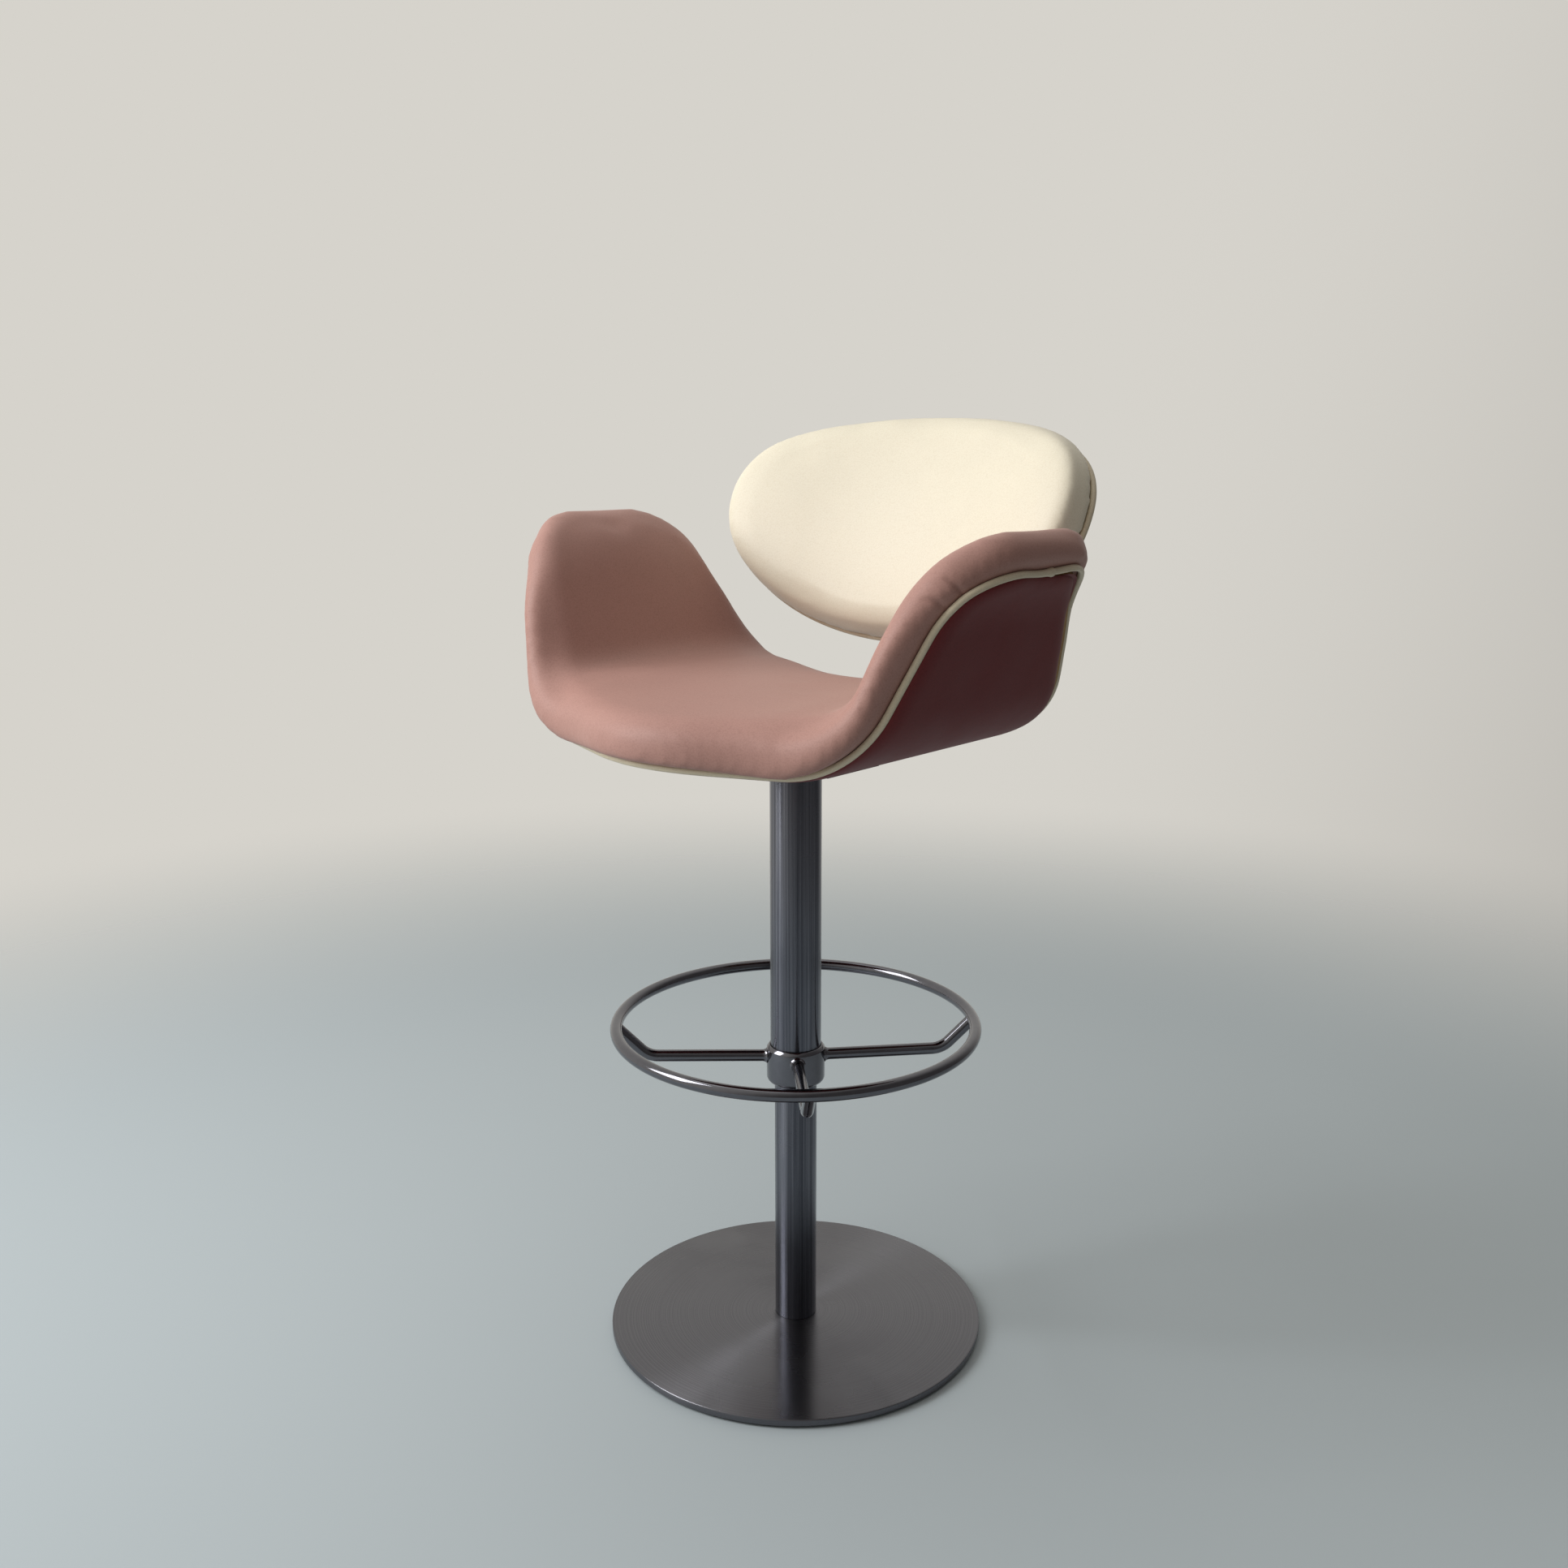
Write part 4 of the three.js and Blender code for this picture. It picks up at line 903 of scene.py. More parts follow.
def smooth_value(table: Pairs, station: float) -> float:
    """Reads a smooth value from a table.

    Args:
        table: Points of station and value, in order.
        station: Where to read.

    Returns:
        The value of a cubic through the points.
    """
    i = 0
    while i < len(table) - 2 and station > table[i + 1][0]:
        i += 1

    def slope(k: int) -> float:
        """The rise over run between a point's neighbours."""
        before, after = table[max(k - 1, 0)], table[min(k + 1, len(table) - 1)]
        return (after[1] - before[1]) / (after[0] - before[0])

    width = table[i + 1][0] - table[i][0]
    t = (station - table[i][0]) / width
    start_slope = 0.0 if i == 0 and table[0][0] == 0 else slope(i)
    share = grow(t, (0, 1))
    return (table[i][1] * (1 - share) + table[i + 1][1] * share
            + width * start_slope * t * (1 - t) ** 2 - width * slope(i + 1) * t * t * (1 - t))


class PadPattern(ABC):
    """A pad as it is cut flat, and how it is bent. Its outline is drawn in to a middle line."""

    def __init__(self) -> None:
        """Works the outline out once."""
        self.points = self.outline()

    @abstractmethod
    def outline(self) -> Outline:
        """The outline's points, each with its point on the middle line."""

    @abstractmethod
    def bend(self, across: float, along: float, height: float) -> Vector:
        """Where a point of the flat pattern, at a height over the shell's top, lies on the stool."""

    def ring(
        self, inset: float | Sequence[float], height: Height | Sequence[float], share: float = 0,
    ) -> list[Vector]:
        """A closed ring on the bent pad.

        Args:
            inset: How far inside the outline it starts, for all points or for each.
            height: How far over the shell's top it lies: a number, one for each point or a rule.
            share: How far it has gone from there to the middle line, from 0 to 1.

        Returns:
            The ring's points in the outline's order.
        """
        places = []
        for i, (edge, middle) in enumerate(self.points):
            start = (inset[i] if isinstance(inset, list) else inset) / (middle - edge).length
            flat = edge.lerp(middle, start + share * (1 - start))
            if callable(height):
                level = height(flat)
            else:
                level = height[i] if isinstance(height, list) else height
            places.append(self.bend(flat.x, flat.y, level))
        return places


class PetalPattern(PadPattern):
    """The seat's petal: level in the middle, bent up into two arms that flare out at their tips."""

    deck_height = 741.0
    half_length = 446.0
    deck_half = 150.0
    bend_radius = 108.0
    slope = math.radians(66.5)
    straight = 83.0
    flare_radius = 140.0
    front_reach = 260.0
    rear_reach = 132.0
    front_corner = (46.0, 60.0)
    rear_corner = (92.0, 74.0)
    middle_inset = 62.0
    column_step = 7.0
    corner_columns = 20
    tip_columns = 30
    front_shares = ((0, 1), (.12, .97), (.24, .896), (.36, .817), (.48, .75), (.6, .683), (.72, .628),
                    (.84, .567), (1, .432))
    rear_shares = ((0, 1.02), (.12, 1.05), (.24, 1.15), (.36, 1.237), (.48, 1.272), (.6, 1.208), (.72, 1.042),
                   (.84, .87), (1, .865))

    def drawn_in(self, station: float, corner: Span) -> float:
        """How far a rounded corner, given by its run and its depth, draws the edge in."""
        run, depth = corner
        share = min(max(station - (self.half_length - run), 0) / run, 1)
        return depth * (1 - math.sqrt(1 - share * share))

    def front(self, s: float) -> float:
        """The front edge at a station."""
        reach = self.front_reach * smooth_value(self.front_shares, abs(s) / self.half_length)
        return -reach + self.drawn_in(abs(s), self.front_corner)

    def rear(self, s: float) -> float:
        """The rear edge at a station."""
        reach = self.rear_reach * smooth_value(self.rear_shares, abs(s) / self.half_length)
        return reach - self.drawn_in(abs(s), self.rear_corner)

    def outline(self) -> Outline:
        """The petal's outline: front edge, right tip, rear edge, left tip."""
        run = self.rear_corner[0]
        corner_start = self.half_length - run
        count = round(corner_start / self.column_step)
        half = [corner_start * i / count for i in range(count + 1)]
        turns = [(i + 1) / self.corner_columns * QUARTER_TURN for i in range(self.corner_columns)]
        half += [corner_start + run * math.sin(turn) for turn in turns]
        columns = [-s for s in reversed(half[1:])] + half
        limit = self.half_length - self.middle_inset

        def point(s: float, along: float) -> tuple[Vector, Vector]:
            """An outline point with its middle point."""
            station = min(max(s, -limit), limit)
            middle = (self.front(station) + self.rear(station)) / 2
            return Vector((s, along, 0)), Vector((station, middle, 0))

        def tip(s: float, start: float, end: float) -> Outline:
            """The straight end of an arm, without its corners."""
            shares = [i / self.tip_columns for i in range(1, self.tip_columns)]
            return [point(s, start + (end - start) * share) for share in shares]

        end = self.half_length
        return [
            *[point(s, self.front(s)) for s in columns],
            *tip(end, self.front(end), self.rear(end)),
            *[point(s, self.rear(s)) for s in reversed(columns)],
            *tip(-end, self.rear(end), self.front(end)),
        ]

    def bend(self, across: float, along: float, height: float) -> Vector:
        """Level, bent up, straight, then flared out."""
        s = abs(across)
        arc = self.bend_radius * self.slope
        bent = min(max(s - self.deck_half, 0), arc) / self.bend_radius
        straight = min(max(s - self.deck_half - arc, 0), self.straight)
        flared = max(s - self.deck_half - arc - self.straight, 0) / self.flare_radius
        lean = bent - flared
        x = min(s, self.deck_half) + self.bend_radius * math.sin(bent) + straight * math.cos(self.slope)
        z = self.deck_height + self.bend_radius * (1 - math.cos(bent)) + straight * math.sin(self.slope)
        if flared > 0:
            x += self.flare_radius * (math.sin(self.slope) - math.sin(lean))
            z += self.flare_radius * (math.cos(lean) - math.cos(self.slope))
        x -= math.sin(lean) * height
        return Vector((math.copysign(x, across), along, z + math.cos(lean) * height))


class OvalPattern(PadPattern):
    """The back: an oval, flatter at the top than below, bent round the sitter and leaned back."""

    depth = 237.0
    height = 957.0
    recline = math.radians(26)
    curve_radius = 625.0
    half_width = 266.0
    rise = 133.5
    drop = 149.5
    roundness_share = 0.95
    middle_inset = 120.0
    sides = 180

    def outline(self) -> Outline:
        """The oval's outline, from the right, up and round."""
        points = []
        limit = self.half_width - self.middle_inset
        for i in range(self.sides):
            angle = (i + 0.5) / self.sides * FULL_TURN
            cosine, sine = math.cos(angle), math.sin(angle)
            across = self.half_width * math.copysign(abs(cosine) ** self.roundness_share, cosine)
            reach = self.rise if sine > 0 else self.drop
            up = reach * math.copysign(abs(sine) ** self.roundness_share, sine)
            points.append((Vector((across, up, 0)), Vector((min(max(across, -limit), limit), 0, 0))))
        return points

    def place(self, across: float, up: float, forward: float) -> Vector:
        """A point by how far it is across, up and in front of the leaned back's centre."""
        lean_up = Vector((0, math.sin(self.recline), math.cos(self.recline)))
        lean_forward = Vector((0, -math.cos(self.recline), math.sin(self.recline)))
        return Vector((across, self.depth, self.height)) + lean_up * up + lean_forward * forward

    def bend(self, across: float, along: float, height: float) -> Vector:
        """Bent about an upright axis in front of the back."""
        turn = across / self.curve_radius
        radius = self.curve_radius - height
        return self.place(radius * math.sin(turn), along, self.curve_radius - radius * math.cos(turn))


def get_places(mesh: Mesh) -> np.ndarray:
    """A mesh's vertices as rows of three numbers."""
    flat = np.empty(3 * len(mesh.vertices), np.float32)
    mesh.vertices.foreach_get("co", flat)
    return flat.reshape(-1, 3)


def set_places(mesh: Mesh, places: np.ndarray) -> None:
    """Moves a mesh's vertices to new places."""
    mesh.vertices.foreach_set("co", places.ravel())
    mesh.update()


def modified(piece: Piece, kind: str, **settings: object) -> Mesh:
    """Applies one modifier.

    Args:
        piece: The object.
        kind: The modifier's type name.
        settings: The modifier's properties.

    Returns:
        The mesh that it makes.
    """
    modifier = piece.modifiers.new(kind.lower(), kind)
    for name, value in settings.items():
        setattr(modifier, name, value)
    bpy.context.view_layer.update()
    evaluated = piece.evaluated_get(bpy.context.evaluated_depsgraph_get())
    mesh = bpy.data.meshes.new_from_object(evaluated)
    piece.modifiers.remove(modifier)
    return mesh


class Neighbours:
    """Which vertices of a mesh its edges join."""

    def __init__(self, mesh: Mesh) -> None:
        """Reads the mesh's edges, each both ways.

        Args:
            mesh: The mesh.
        """
        ends = np.empty(2 * len(mesh.edges), dtype=np.int32)
        mesh.edges.foreach_get("vertices", ends)
        ends = ends.reshape(-1, 2)
        self.start = np.concatenate((ends[:, 0], ends[:, 1]))
        self.end = np.concatenate((ends[:, 1], ends[:, 0]))
        self.count = np.bincount(self.start)[:, None]

    def mean(self, values: np.ndarray) -> np.ndarray:
        """The mean of a value over each vertex's neighbours."""
        sums = [np.bincount(self.start, values[self.end, axis]) for axis in range(3)]
        return np.stack(sums, axis=1) / self.count


@dataclass
class Upholstery(SubAssembly):
    """A padded sheet: leather cushion, welt and outer cover over a bent plywood shell."""

    pattern: PadPattern
    prefix: str
    pad_slot: Slot
    pad_thickness: float
    pad_crown: float
    welt_inset: float
    fill: float
    voxel: float = 5.0
    pressure: float = 4.0
    stiffness: float = 30.0
    cloth_frames: int = 20
    swell_cap: float = 6.0
    shrink: float = 1.0
    even_rounds: int = 40
    relax_rounds: int = 12
    relax_shares: Span = (0.5, -0.52)
    layer_gap: float = 0.6
    shell_thickness: float = 6.4
    cover_thickness: float = 3.0
    cover_inset: float = 9.0
    cover_round: float = 24.0
    cover_steps: int = 8
    rim_inset: float = 1.0
    cover_sharp: float = math.radians(60)
    panel_shares: tuple[float, ...] = (0.75, 0.5, 0.25, 0.1)
    welt_radius: float = 3.75
    welt_sides: int = 12
    welt_sink: float = 0.2
    foot_lip: float = 2.0
    foot_shares: Pairs = ((0.6, -0.02), (0.3, 0.0), (0.1, 0.07))
    roll_shares: Pairs = (
        (-.04, .18), (-.06, .3), (-.03, .42), (.02, .56), (.1, .68), (.23, .8), (.44, .89), (.75, .955),
        (1.15, .99), (1.6, 1))
    hang_share: float = 0.4
    crown_steps: int = 6
    sewn_rings: ClassVar[int] = 4

    def cushion_rings(self) -> list[Triple]:
        """The cushion's rings: inset, height and share, from its underside's middle to its top's."""
        thick = self.pad_thickness - self.shrink
        roll = self.pad_thickness / 2
        crown = [(i + 1) / self.crown_steps for i in range(self.crown_steps)]
        crown_inset = self.roll_shares[-1][0] * roll
        return [
            (0, 0, 1), (roll, 0, 0.5), (roll, 0, 0), (self.welt_inset + self.foot_lip, 0, 0),
            *[(self.welt_inset * inset, self.pad_thickness * up, 0) for inset, up in self.foot_shares],
            *[(self.shrink / 2 + roll * inset, thick * up, 0) for inset, up in self.roll_shares],
            *[(crown_inset, thick + self.pad_crown * (1 - (1 - share) ** 2), share) for share in crown],
        ]

    def overhang(self, edge: Vector, level: float) -> float:
        """How much further out the pad's roll swells at an outline point and a share of the thickness."""
        return 0.0

    def fullness(self, flat: Vector) -> float:
        """The share of its thickness that the pad has at a place of the pattern."""
        return 1.0

    def droop(self, flat: Vector) -> float:
        """How far the pad's roll hangs over the welt at a place of the pattern."""
        return 0.0

    def crease(self, piece: Piece) -> None:
        """Presses creases into the pad, where it has any."""

    def bulge(self, flat: Vector) -> float:
        """How far the outer cover's padding swells at a place of the pattern."""
        return 0.0

    def tuck(self, edge: Vector) -> float:
        """How much further in the outer cover's rim lies at an outline point."""
        return 0.0

    def welt_swell(self, i: int) -> float:
        """How many times thicker the welt is at an outline point."""
        return 1.0

    def pad_ring(self, inset: float, height: float, share: float) -> list[Vector]:
        """One ring of the pad, with its overhang, its fullness and its droop.

        Args:
            inset: How far inside the outline it starts.
            height: How far over the shell's top it lies where the pad is full.
            share: How far it has gone to the middle line.

        Returns:
            The ring's points.
        """
        level = height / self.pad_thickness
        outer = max(1 - inset / (self.pad_thickness / 2), 0)
        insets = [inset - outer * self.overhang(edge, level) for edge, _ in self.pattern.points]
        hang = max(1 - level / self.hang_share, 0) * max(1 - inset / self.welt_inset, 0)

        def rule(flat: Vector) -> float:
            """The ring's height at a place of the pattern."""
            return height * self.fullness(flat) - hang * self.droop(flat)

        return self.pattern.ring(insets, rule, share)

    def build_cushion(self) -> None:
        """Lofts the pad, blows it up as cloth and relaxes it."""
        rings = [self.pad_ring(*ring) for ring in self.cushion_rings()]
        pad = Sweep(rings[0])
        for ring in rings[1:]:
            pad.draw(ring)
        sewn = KDTree(len(self.pattern.points) * len(rings))
        for k, ring in enumerate(rings):
            for place in ring:
                sewn.insert(place * MM, int(k < self.sewn_rings))
        sewn.balance()
        piece = self.keep(
            f"{self.prefix}_pad", pad.bm, Body.CARRIAGE, self.pad_slot, f"{self.prefix}_cushion",
            sharp=math.pi,
        )
        piece.data = modified(piece, "REMESH", mode="VOXEL", voxel_size=self.voxel * MM)
        pinned = [sewn.find(vert.co)[1] == 1 for vert in piece.data.vertices]
        self.blow_up(piece, pinned)
        self.relax(piece, pinned)
        piece.data = modified(piece, "SUBSURF", levels=1, render_levels=1)
        self.crease(piece)
        piece.data.shade_smooth()
        log.info("%s: %d faces after the cloth", piece.name, len(piece.data.polygons))

    def blow_up(self, piece: Piece, pinned: list[bool]) -> None:
        """Swells the pad as cloth under pressure, evens its moves and caps how far each point moves.

        Args:
            piece: The pad.
            pinned: Whether each vertex is sewn down.
        """
        scene = bpy.context.scene
        group = piece.vertex_groups.new(name="sewn")
        group.add([i for i, held in enumerate(pinned) if held], 1.0, "REPLACE")
        before = get_places(piece.data)
        cloth = piece.modifiers.new("cloth", "CLOTH")
        for name, value in {
            "quality": 5, "mass": 0.3, "bending_stiffness": 5, "tension_stiffness": self.stiffness,
            "compression_stiffness": self.stiffness, "use_pressure": True,
            "uniform_pressure_force": self.pressure, "vertex_group_mass": group.name,
        }.items():
            setattr(cloth.settings, name, value)
        cloth.settings.effector_weights.gravity = 0
        cloth.collision_settings.use_collision = False
        cloth.point_cache.frame_start = 1
        cloth.point_cache.frame_end = self.cloth_frames
        for number in range(1, self.cloth_frames + 1):
            scene.frame_set(number)
        settled = piece.evaluated_get(bpy.context.evaluated_depsgraph_get())
        moved = get_places(settled.data) - before
        free = np.array([[not held] for held in pinned])
        neighbours = Neighbours(piece.data)
        for _ in range(self.even_rounds):
            moved = free * (moved + neighbours.mean(moved)) / 2
        piece.modifiers.remove(cloth)
        piece.vertex_groups.remove(group)
        scene.frame_set(1)
        reach = np.linalg.norm(moved, axis=1, keepdims=True)
        limit = self.swell_cap * MM
        set_places(piece.data, before + moved * np.minimum(1, limit / np.maximum(reach, MM * WELD)))
        log.info("%s: cloth moved up to %.1f mm", piece.name, reach.max() / MM)

    def relax(self, piece: Piece, pinned: list[bool]) -> None:
        """Evens the surface: each round's second half undoes the first one's shrinking.

        Args:
            piece: The pad.
            pinned: Whether each vertex is sewn down, and so left.
        """
        places = get_places(piece.data)
        free = np.array([[not held] for held in pinned])
        neighbours = Neighbours(piece.data)
        for _ in range(self.relax_rounds):
            for share in self.relax_shares:
                places += share * free * (neighbours.mean(places) - places)
        set_places(piece.data, places)

    def build_cover(self) -> None:
        """Lofts the outer cover: its panel, its rounded rim and the side that is glued to the shell."""
        top = -2 * self.layer_gap - self.shell_thickness
        bottom = top - self.cover_thickness
        rim = -self.layer_gap - 2 * self.welt_radius + self.welt_sink
        inner = self.welt_inset + self.cover_inset - self.layer_gap
        tucks = [self.tuck(edge) for edge, _ in self.pattern.points]

        def panel(flat: Vector, share: float = 1) -> float:
            """The cover's height at a place: the rim's at a share of 0, the padded panel's at 1."""
            return rim + (bottom - self.bulge(flat) - rim) * share

        cover = Sweep(self.pattern.ring(inner, panel, 1))
        for share in self.panel_shares:
            insets = [self.welt_inset + self.cover_round + tuck for tuck in tucks]
            cover.draw(self.pattern.ring(insets, panel, share))
        for i in range(self.cover_steps + 1):
            turn = QUARTER_TURN * i / self.cover_steps
            round_in = (self.cover_round - self.rim_inset) * (1 - math.sin(turn))
            start = self.welt_inset + self.rim_inset + round_in
            rule = partial(panel, share=math.cos(turn))
            cover.draw(self.pattern.ring([start + tuck for tuck in tucks], rule))
        for height, share in ((rim, 0), (top, 0), (top, 0.5), (top, 1)):
            cover.draw(self.pattern.ring(inner, height, share))
        self.keep(
            f"{self.prefix}_outer_panel", cover.bm, Body.CARRIAGE, Slot.OUTER_LEATHER,
            f"{self.prefix}_outer_cover", sharp=self.cover_sharp,
        )

    def build_welt(self) -> None:
        """Carries a round cord's section round the outline."""
        radii = [self.welt_radius * self.welt_swell(i) for i in range(len(self.pattern.points))]
        middle = -self.layer_gap - self.welt_radius
        rings = []
        for out, up in circle(1, self.welt_sides):
            insets = [self.welt_inset + radius * out for radius in radii]
            rings.append(self.pattern.ring(insets, [middle + radius * up for radius in radii]))
        welt = Sweep(rings[0])
        for ring in [*rings[1:], rings[0]]:
            welt.draw(ring)
        self.keep(
            f"{self.prefix}_welt", welt.bm, Body.CARRIAGE, Slot.WELT_LEATHER, f"{self.prefix}_piping",
            sharp=math.pi,
        )

    def build(self) -> None:
        """Builds the pad, the cover and the welt."""
        self.build_cushion()
        self.build_cover()
        self.build_welt()


@dataclass
class Seat(Upholstery):
    """The petal seat, whose outer cover is lightly padded on the arms. A span is where a swell grows: over
    stations along the petal, places across it from front to rear, or levels of the pad's thickness."""

    arm_bulge: float = 3.0
    bulge_span: Span = (190, 280)
    deck_swell: float = 5.0
    bend_swell: float = 17.0
    bend_span: Span = (110, 230)
    front_end: Span = (320, 430)
    front_side: Span = (-60, 0)
    low_levels: Span = (0.55, 0.95)
    rear_swell: float = 13.0
    arm_start: Span = (150, 280)
    arm_end: Span = (390, 440)
    arm_side: Span = (20, 80)
    high_levels: Span = (0.3, 0.7)
    corner_swell: float = 7.5
    corner_span: Span = (370, 430)
    corner_side: Span = (15, 90)
    tip_swell: float = 5.5
    tip_span: Span = (425, 446)
    tip_side: Span = (10, 80)
    front_droop: float = 8.5
    droop_side: Span = (-170, -90)
    droop_end: Span = (200, 320)
    arm_slack: float = 0.11
    slack_span: Span = (170, 300)
    valley_fill: float = 0.13
    valley_place: float = 165.0
    valley_width: float = 58.0
    rear_tuck: float = 9.0
    tuck_span: Span = (200, 300)
    tuck_side: Span = (-10, 60)
    corner_tuck: float = 4.0
    corner_tuck_span: Span = (370, 410)
    corner_tuck_side: Span = (30, 70)
    joint_place: Vector = field(default_factory=lambda: Vector((446, 8, 0)))
    joint_swell: float = 0.38
    joint_thin: float = 0.12
    joint_length: float = 8.0
    crease_stations: Pairs = ((413, 409), (395, 385))
    crease_heights: Span = (2.0, 17.0)
    crease_depth: float = 2.8
    crease_width: float = 2.3
    crease_reach: float = 14.0
    crease_fade: float = 0.6
    crease_probe: float = 20.0

    def crease(self, piece: Piece) -> None:
        """Two short creases run up the roll from the welt, at one arm's front corner."""
        places = get_places(piece.data)
        normals = np.empty_like(places)
        piece.data.vertex_normals.foreach_get("vector", normals.ravel())
        inward = self.crease_probe
        for stations in self.crease_stations:
            ends = [(s, self.pattern.front(s), height) for s, height in zip(stations, self.crease_heights)]
            foot, head = [np.array(self.pattern.bend(*end)) * MM for end in ends]
            s, along, height = ends[0]
            outward = foot - np.array(self.pattern.bend(s - inward, along + inward, height)) * MM
            outward /= np.linalg.norm(outward)
            run = head - foot
            share = np.clip((places - foot) @ run / (run @ run), 0, 1)[:, None]
            away = places - foot - share * run
            depth = (away @ outward)[:, None]
            across = np.linalg.norm(away - depth * outward, axis=1, keepdims=True)
            press = np.exp(-(across / (self.crease_width * MM)) ** 2) * (1 - self.crease_fade * share)
            press *= np.abs(depth) < self.crease_reach * MM
            places -= self.crease_depth * MM * press * normals
        set_places(piece.data, places)

    def bulge(self, flat: Vector) -> float:
        """The outer cover swells on the arms only, clear of the seat plate."""
        return self.arm_bulge * grow(abs(flat.x), self.bulge_span)

    def overhang(self, edge: Vector, level: float) -> float:
        """The roll swells where the pad is squeezed: low in front, high behind each arm, and at its tip."""
        s, side = abs(edge.x), edge.y
        front = self.deck_swell + (self.bend_swell - self.deck_swell) * grow(s, self.bend_span)
        front *= fade(level, self.low_levels) * fade(side, self.front_side)
        arm = grow(s, self.arm_start) * fade(s, self.arm_end)
        arm *= grow(side, self.arm_side)
        corner = grow(s, self.corner_span) * grow(side, self.corner_side)
        tip = grow(s, self.tip_span) * fade(side, self.tip_side)
        return (front * fade(s, self.front_end) + self.tip_swell * tip
                + (self.rear_swell * arm + self.corner_swell * corner) * grow(level, self.high_levels))

    def droop(self, flat: Vector) -> float:
        """The roll hangs over the welt along the seat's front."""
        front = fade(flat.y, self.droop_side)
        return self.front_droop * front * fade(abs(flat.x), self.droop_end)

    def fullness(self, flat: Vector) -> float:
        """The arms are padded a little thinner than the seat, and each valley before them thicker."""
        valley = math.exp(-((abs(flat.x) - self.valley_place) / self.valley_width) ** 2)
        return 1 - self.arm_slack * grow(abs(flat.x), self.slack_span) + self.valley_fill * valley

    def tuck(self, edge: Vector) -> float:
        """The outer cover is drawn in along the rear of the arms, most under their corners."""
        s, side = abs(edge.x), edge.y
        rear = grow(s, self.tuck_span) * grow(side, self.tuck_side)
        corner = grow(s, self.corner_tuck_span) * grow(side, self.corner_tuck_side)
        return self.rear_tuck * rear + self.corner_tuck * corner

    def welt_swell(self, i: int) -> float:
        """The welt's ends are lapped on the tip of one arm: one is blunt and thick, the other thinner."""
        past = self.pattern.points[i][0] - self.joint_place
        near = math.exp(-(past.length / self.joint_length) ** 2)
        return 1 + (self.joint_swell if past.y <= 0 else -self.joint_thin) * near


@dataclass
class Back(Upholstery):
    """The oval back."""

    top_swell: float = 4.0
    top_span: Span = (20, 100)
    side_swell: float = 5.0
    side_span: Span = (180, 250)
    side_levels: Span = (0.4, 0.8)

    def overhang(self, edge: Vector, level: float) -> float:
        """The roll is fuller along the top, and inwards at the sides."""
        side = grow(abs(edge.x), self.side_span) * grow(level, self.side_levels)
        return self.top_swell * grow(edge.y, self.top_span) + self.side_swell * side


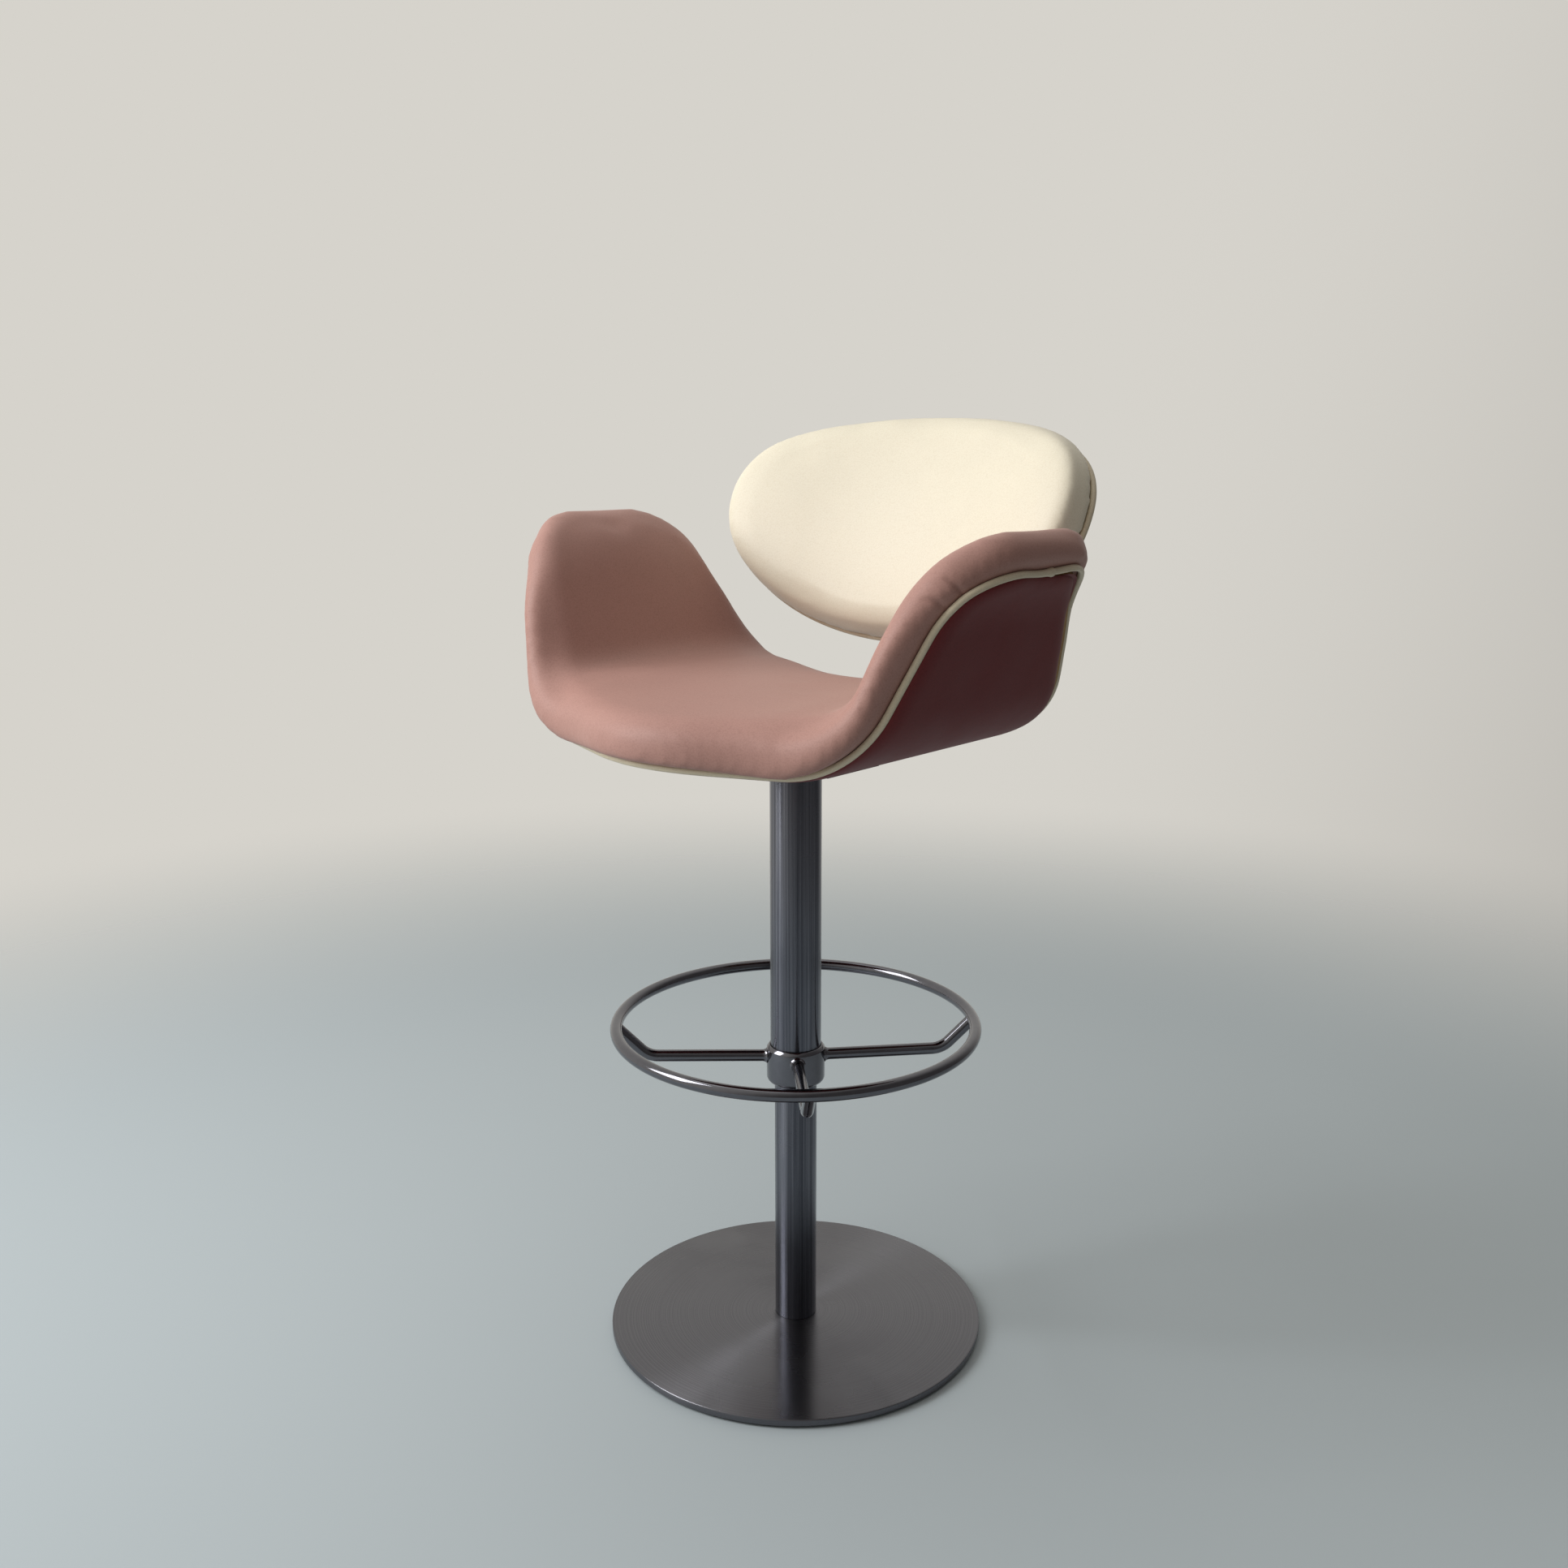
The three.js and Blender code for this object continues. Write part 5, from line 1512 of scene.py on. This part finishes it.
@dataclass
class Spine(SubAssembly):
    """The flat steel spine that carries the back, and the leather sleeve on it."""

    thickness: float = 8.0
    edge_round: float = 1.5
    gap: float = 0.3
    bend_radius: float = 40.0
    bend_steps: int = 12
    lean_radius: float = 120.0
    lean_steps: int = 10
    upright_depth: float = 200.0
    top_above_centre: float = 45.0
    sleeve_wall: float = 4.5
    sleeve_corner: float = 6.0
    sleeve_bore_corner: float = 1.0
    sleeve_shares: Pairs = ((0, .9), (0, .96), (.02, 1), (.1, 1.01), (.5, 1.04), (.9, 1.01), (.98, 1),
                            (1, .96), (1, .9))

    def section(self, width: float, thickness: float, corner: float, centre: Vector) -> list[Vector]:
        """A rectangle with rounded corners that stands across +Y.

        Args:
            width: Its size along X.
            thickness: Its size along Z.
            corner: Its corners' radius.
            centre: Its centre.

        Returns:
            Its points in order.
        """
        bm = bmesh.new()
        bmesh.ops.create_grid(bm, x_segments=1, y_segments=1, size=0.5)
        bmesh.ops.scale(bm, vec=(width, thickness, 1), verts=bm.verts)
        bmesh.ops.bevel(
            bm, geom=bm.verts[:], offset=corner, affect="VERTICES", segments=4, profile=0.5, material=-1,
        )
        bm.faces.ensure_lookup_table()
        points = [centre + Vector((vert.co.x, 0, vert.co.y)) for vert in bm.faces[0].verts]
        bm.free()
        return points

    def build_bar(self) -> None:
        """Bends the bar: back from under the seat, up, and leaned with the back."""
        low, high = corners("back_spine")
        oval = OvalPattern()
        rear_face = corners("seat_outer_cover")[0].z - PetalPattern.deck_height
        offset = rear_face - self.gap - self.thickness / 2
        on_back = oval.place(0, 0, offset)
        corner_rise = (self.upright_depth - on_back.y) / math.sin(oval.recline)
        corner = oval.place(0, corner_rise, offset)
        lean_run = self.lean_radius * math.tan(oval.recline / 2)
        foot = Vector((0, low.y, low.z + self.thickness / 2))
        across = Vector((1, 0, 0))

        bar = Sweep(self.section(high.x - low.x, self.thickness, self.edge_round, foot))
        bar.cap()
        level = self.upright_depth - self.bend_radius - foot.y
        bar.straight(Vector((0, level, 0)))
        bar.bend(foot + Vector((0, level, self.bend_radius)), across, QUARTER_TURN, self.bend_steps)
        lean_start = corner.z - lean_run
        bar.straight(Vector((0, 0, lean_start - foot.z - self.bend_radius)))
        pivot = Vector((0, self.upright_depth + self.lean_radius, lean_start))
        bar.bend(pivot, across, -oval.recline, self.lean_steps)
        run = self.top_above_centre - corner_rise - lean_run
        bar.straight(Vector((0, math.sin(oval.recline), math.cos(oval.recline))) * run)
        bar.cap()
        self.keep("spine_bar", bar.bm, Body.CARRIAGE, Slot.BLACK_STEEL, "back_spine")

    def build_sleeve(self) -> None:
        """Draws the sleeve up round the bar and back down through its bore."""
        low, high = corners("spine_sleeve")
        width, depth, height = high - low
        outer = self.section(width, depth, self.sleeve_corner, Vector())
        bore_depth = self.thickness + 2 * self.gap
        inner = self.section(width - 2 * self.sleeve_wall, bore_depth, self.sleeve_bore_corner, Vector())
        lay = Matrix.Rotation(QUARTER_TURN, 3, "X")

        def ring(points: list[Vector], share: float, size: float) -> list[Vector]:
            """A section laid level at a share of the sleeve's height."""
            middle = Vector((0, self.upright_depth, low.z + share * height))
            return [middle + lay @ point * size for point in points]

        rings = [ring(outer, *shares) for shares in self.sleeve_shares]
        sleeve = Sweep(rings[0])
        for places in [*rings[1:], ring(inner, 1, 1), ring(inner, 0, 1)]:
            sleeve.draw(places)
        self.keep("spine_leather_sleeve", sleeve.bm, Body.CARRIAGE, Slot.OUTER_LEATHER, "spine_sleeve")

    def build(self) -> None:
        """Builds the bar and the sleeve."""
        self.build_bar()
        self.build_sleeve()


@dataclass(frozen=True)
class Lamp:
    """A soft rectangular lamp. It stands, in metres, to the right of, behind and above the stool, as the
    camera sees it, and has a width and a height in metres and a power in watts."""

    name: str
    place: Triple
    size: Span
    power: float


@dataclass
class Studio:
    """The camera at the photograph's viewing angle, a pale floor and soft light from the left."""

    distance: float = 1753.98
    eye_height: float = 1065.58
    azimuth: float = math.radians(41)
    tilt: float = 0.2190
    focal_px: float = 1935.76
    image_px: float = 1932.0
    column_px: float = 980.5
    sensor_mm: float = 36.0
    floor_colour: str = "#b2bcc1"
    floor_roughness: float = 0.7
    floor_fade: Span = (1.2, 2.9)
    floor_sides: int = 96
    wall_bright: str = "#d6d3cc"
    wall_dark: str = "#686563"
    wall_heading: Triple = (-0.8, 0.6, 0.25)
    wall_fade: Span = (-0.6, 0.45)
    lamps: tuple[Lamp, ...] = (
        Lamp("window", (-2.5, -0.35, 2.1), (1.4, 1.8), 60), Lamp("ceiling", (-0.6, 0.3, 3.2), (2.0, 2.0), 8))
    aim: Triple = (0, 0, 0.75)

    def as_seen(self, place: Triple) -> Vector:
        """A place or a heading given to the right of, behind and above the stool as the camera sees it."""
        return Matrix.Rotation(self.azimuth, 3, "Z") @ Vector(place)

    def add_camera(self) -> None:
        """Places the camera so that the frame is the photograph's."""
        lens = bpy.data.cameras.new("view")
        lens.sensor_width = self.sensor_mm
        lens.lens = self.focal_px / self.image_px * self.sensor_mm
        lens.shift_x = (self.image_px / 2 - self.column_px) / self.image_px
        camera = put("view", lens)
        camera.location = MM * self.as_seen((0, -self.distance, self.eye_height))
        camera.rotation_euler = (QUARTER_TURN - self.tilt, 0, self.azimuth)
        bpy.context.scene.camera = camera

    def add_floor(self) -> None:
        """A plain round floor that fades into the room's walls."""
        bm = bmesh.new()
        bmesh.ops.create_circle(bm, cap_ends=True, segments=self.floor_sides, radius=self.floor_fade[1])
        floor = put("floor", to_mesh("floor", bm))
        material = bpy.data.materials.new("plain_floor")
        tree = bare_tree(material)
        surface = add_node(tree, "BsdfPrincipled", {
            "Base Color": linear(self.floor_colour), "Roughness": self.floor_roughness,
        })
        place = add_node(tree, "TexCoord").outputs["Object"]
        reach = add_node(tree, "VectorMath", {0: place}, operation="LENGTH").outputs["Value"]
        share = Patterns(tree, place).spread(reach, 0, 1, self.floor_fade, "SMOOTHSTEP")
        clear = add_node(tree, "BsdfTransparent")
        blend = add_node(tree, "MixShader", {0: share, 1: surface.outputs["BSDF"], 2: clear.outputs["BSDF"]})
        add_node(tree, "OutputMaterial", {"Surface": blend.outputs["Shader"]})
        floor.data.materials.append(material)

    def add_lamp(self, lamp: Lamp) -> None:
        """Adds a lamp that faces the seat and that the camera doesn't see.

        Args:
            lamp: The lamp.
        """
        light = bpy.data.lights.new(lamp.name, "AREA")
        light.shape = "RECTANGLE"
        light.size, light.size_y = lamp.size
        light.energy = lamp.power
        holder = put(lamp.name, light)
        holder.visible_camera = False
        holder.location = self.as_seen(lamp.place)
        holder.rotation_euler = (holder.location - Vector(self.aim)).to_track_quat("Z", "Y").to_euler()

    def add_world(self) -> None:
        """A pale room, brighter on the side of the lamps."""
        world = bpy.data.worlds.new("room")
        tree = bare_tree(world)
        heading = add_node(tree, "TexCoord").outputs["Generated"]
        facing = add_node(tree, "VectorMath", {
            0: heading, 1: self.as_seen(self.wall_heading).normalized(),
        }, operation="DOT_PRODUCT").outputs["Value"]
        art = Patterns(tree, heading)
        share = art.spread(facing, 0, 1, self.wall_fade, "SMOOTHSTEP")
        tone = art.blend(share, self.wall_dark, self.wall_bright)
        background = add_node(tree, "Background", {"Color": tone, "Strength": 1.0})
        add_node(tree, "OutputWorld", {"Surface": background.outputs["Background"]})
        bpy.context.scene.world = world

    def build(self) -> None:
        """Sets the whole studio up."""
        bpy.context.scene.view_settings.view_transform = "Standard"
        self.add_camera()
        self.add_floor()
        self.add_world()
        for lamp in self.lamps:
            self.add_lamp(lamp)


def main() -> None:
    """Sets the studio up, builds each sub-assembly in order and dresses it."""
    logging.basicConfig(level=logging.INFO, format="%(name)s: %(message)s")
    Studio().build()
    wardrobe = make_wardrobe()
    dress_frame(wardrobe)
    assemblies: list[SubAssembly] = [
        Base(), Column(), Footrest(), ReleaseLever(),
        Seat(PetalPattern(), "seat", Slot.SEAT_PAD, pad_thickness=45.0, pad_crown=5.0, welt_inset=16.5,
             fill=0.7, voxel=6.0),
        Back(OvalPattern(), "back", Slot.BACK_PAD, pad_thickness=41.5, pad_crown=7.0, welt_inset=4.0,
             fill=0.7, shrink=0.0),
        Spine(),
    ]
    for assembly in assemblies:
        assembly.build()
        assembly.dress(wardrobe)
        log.info("%s dressed: %d pieces", type(assembly).__name__, len(assembly.made))


if __name__ == "__main__":
    main()
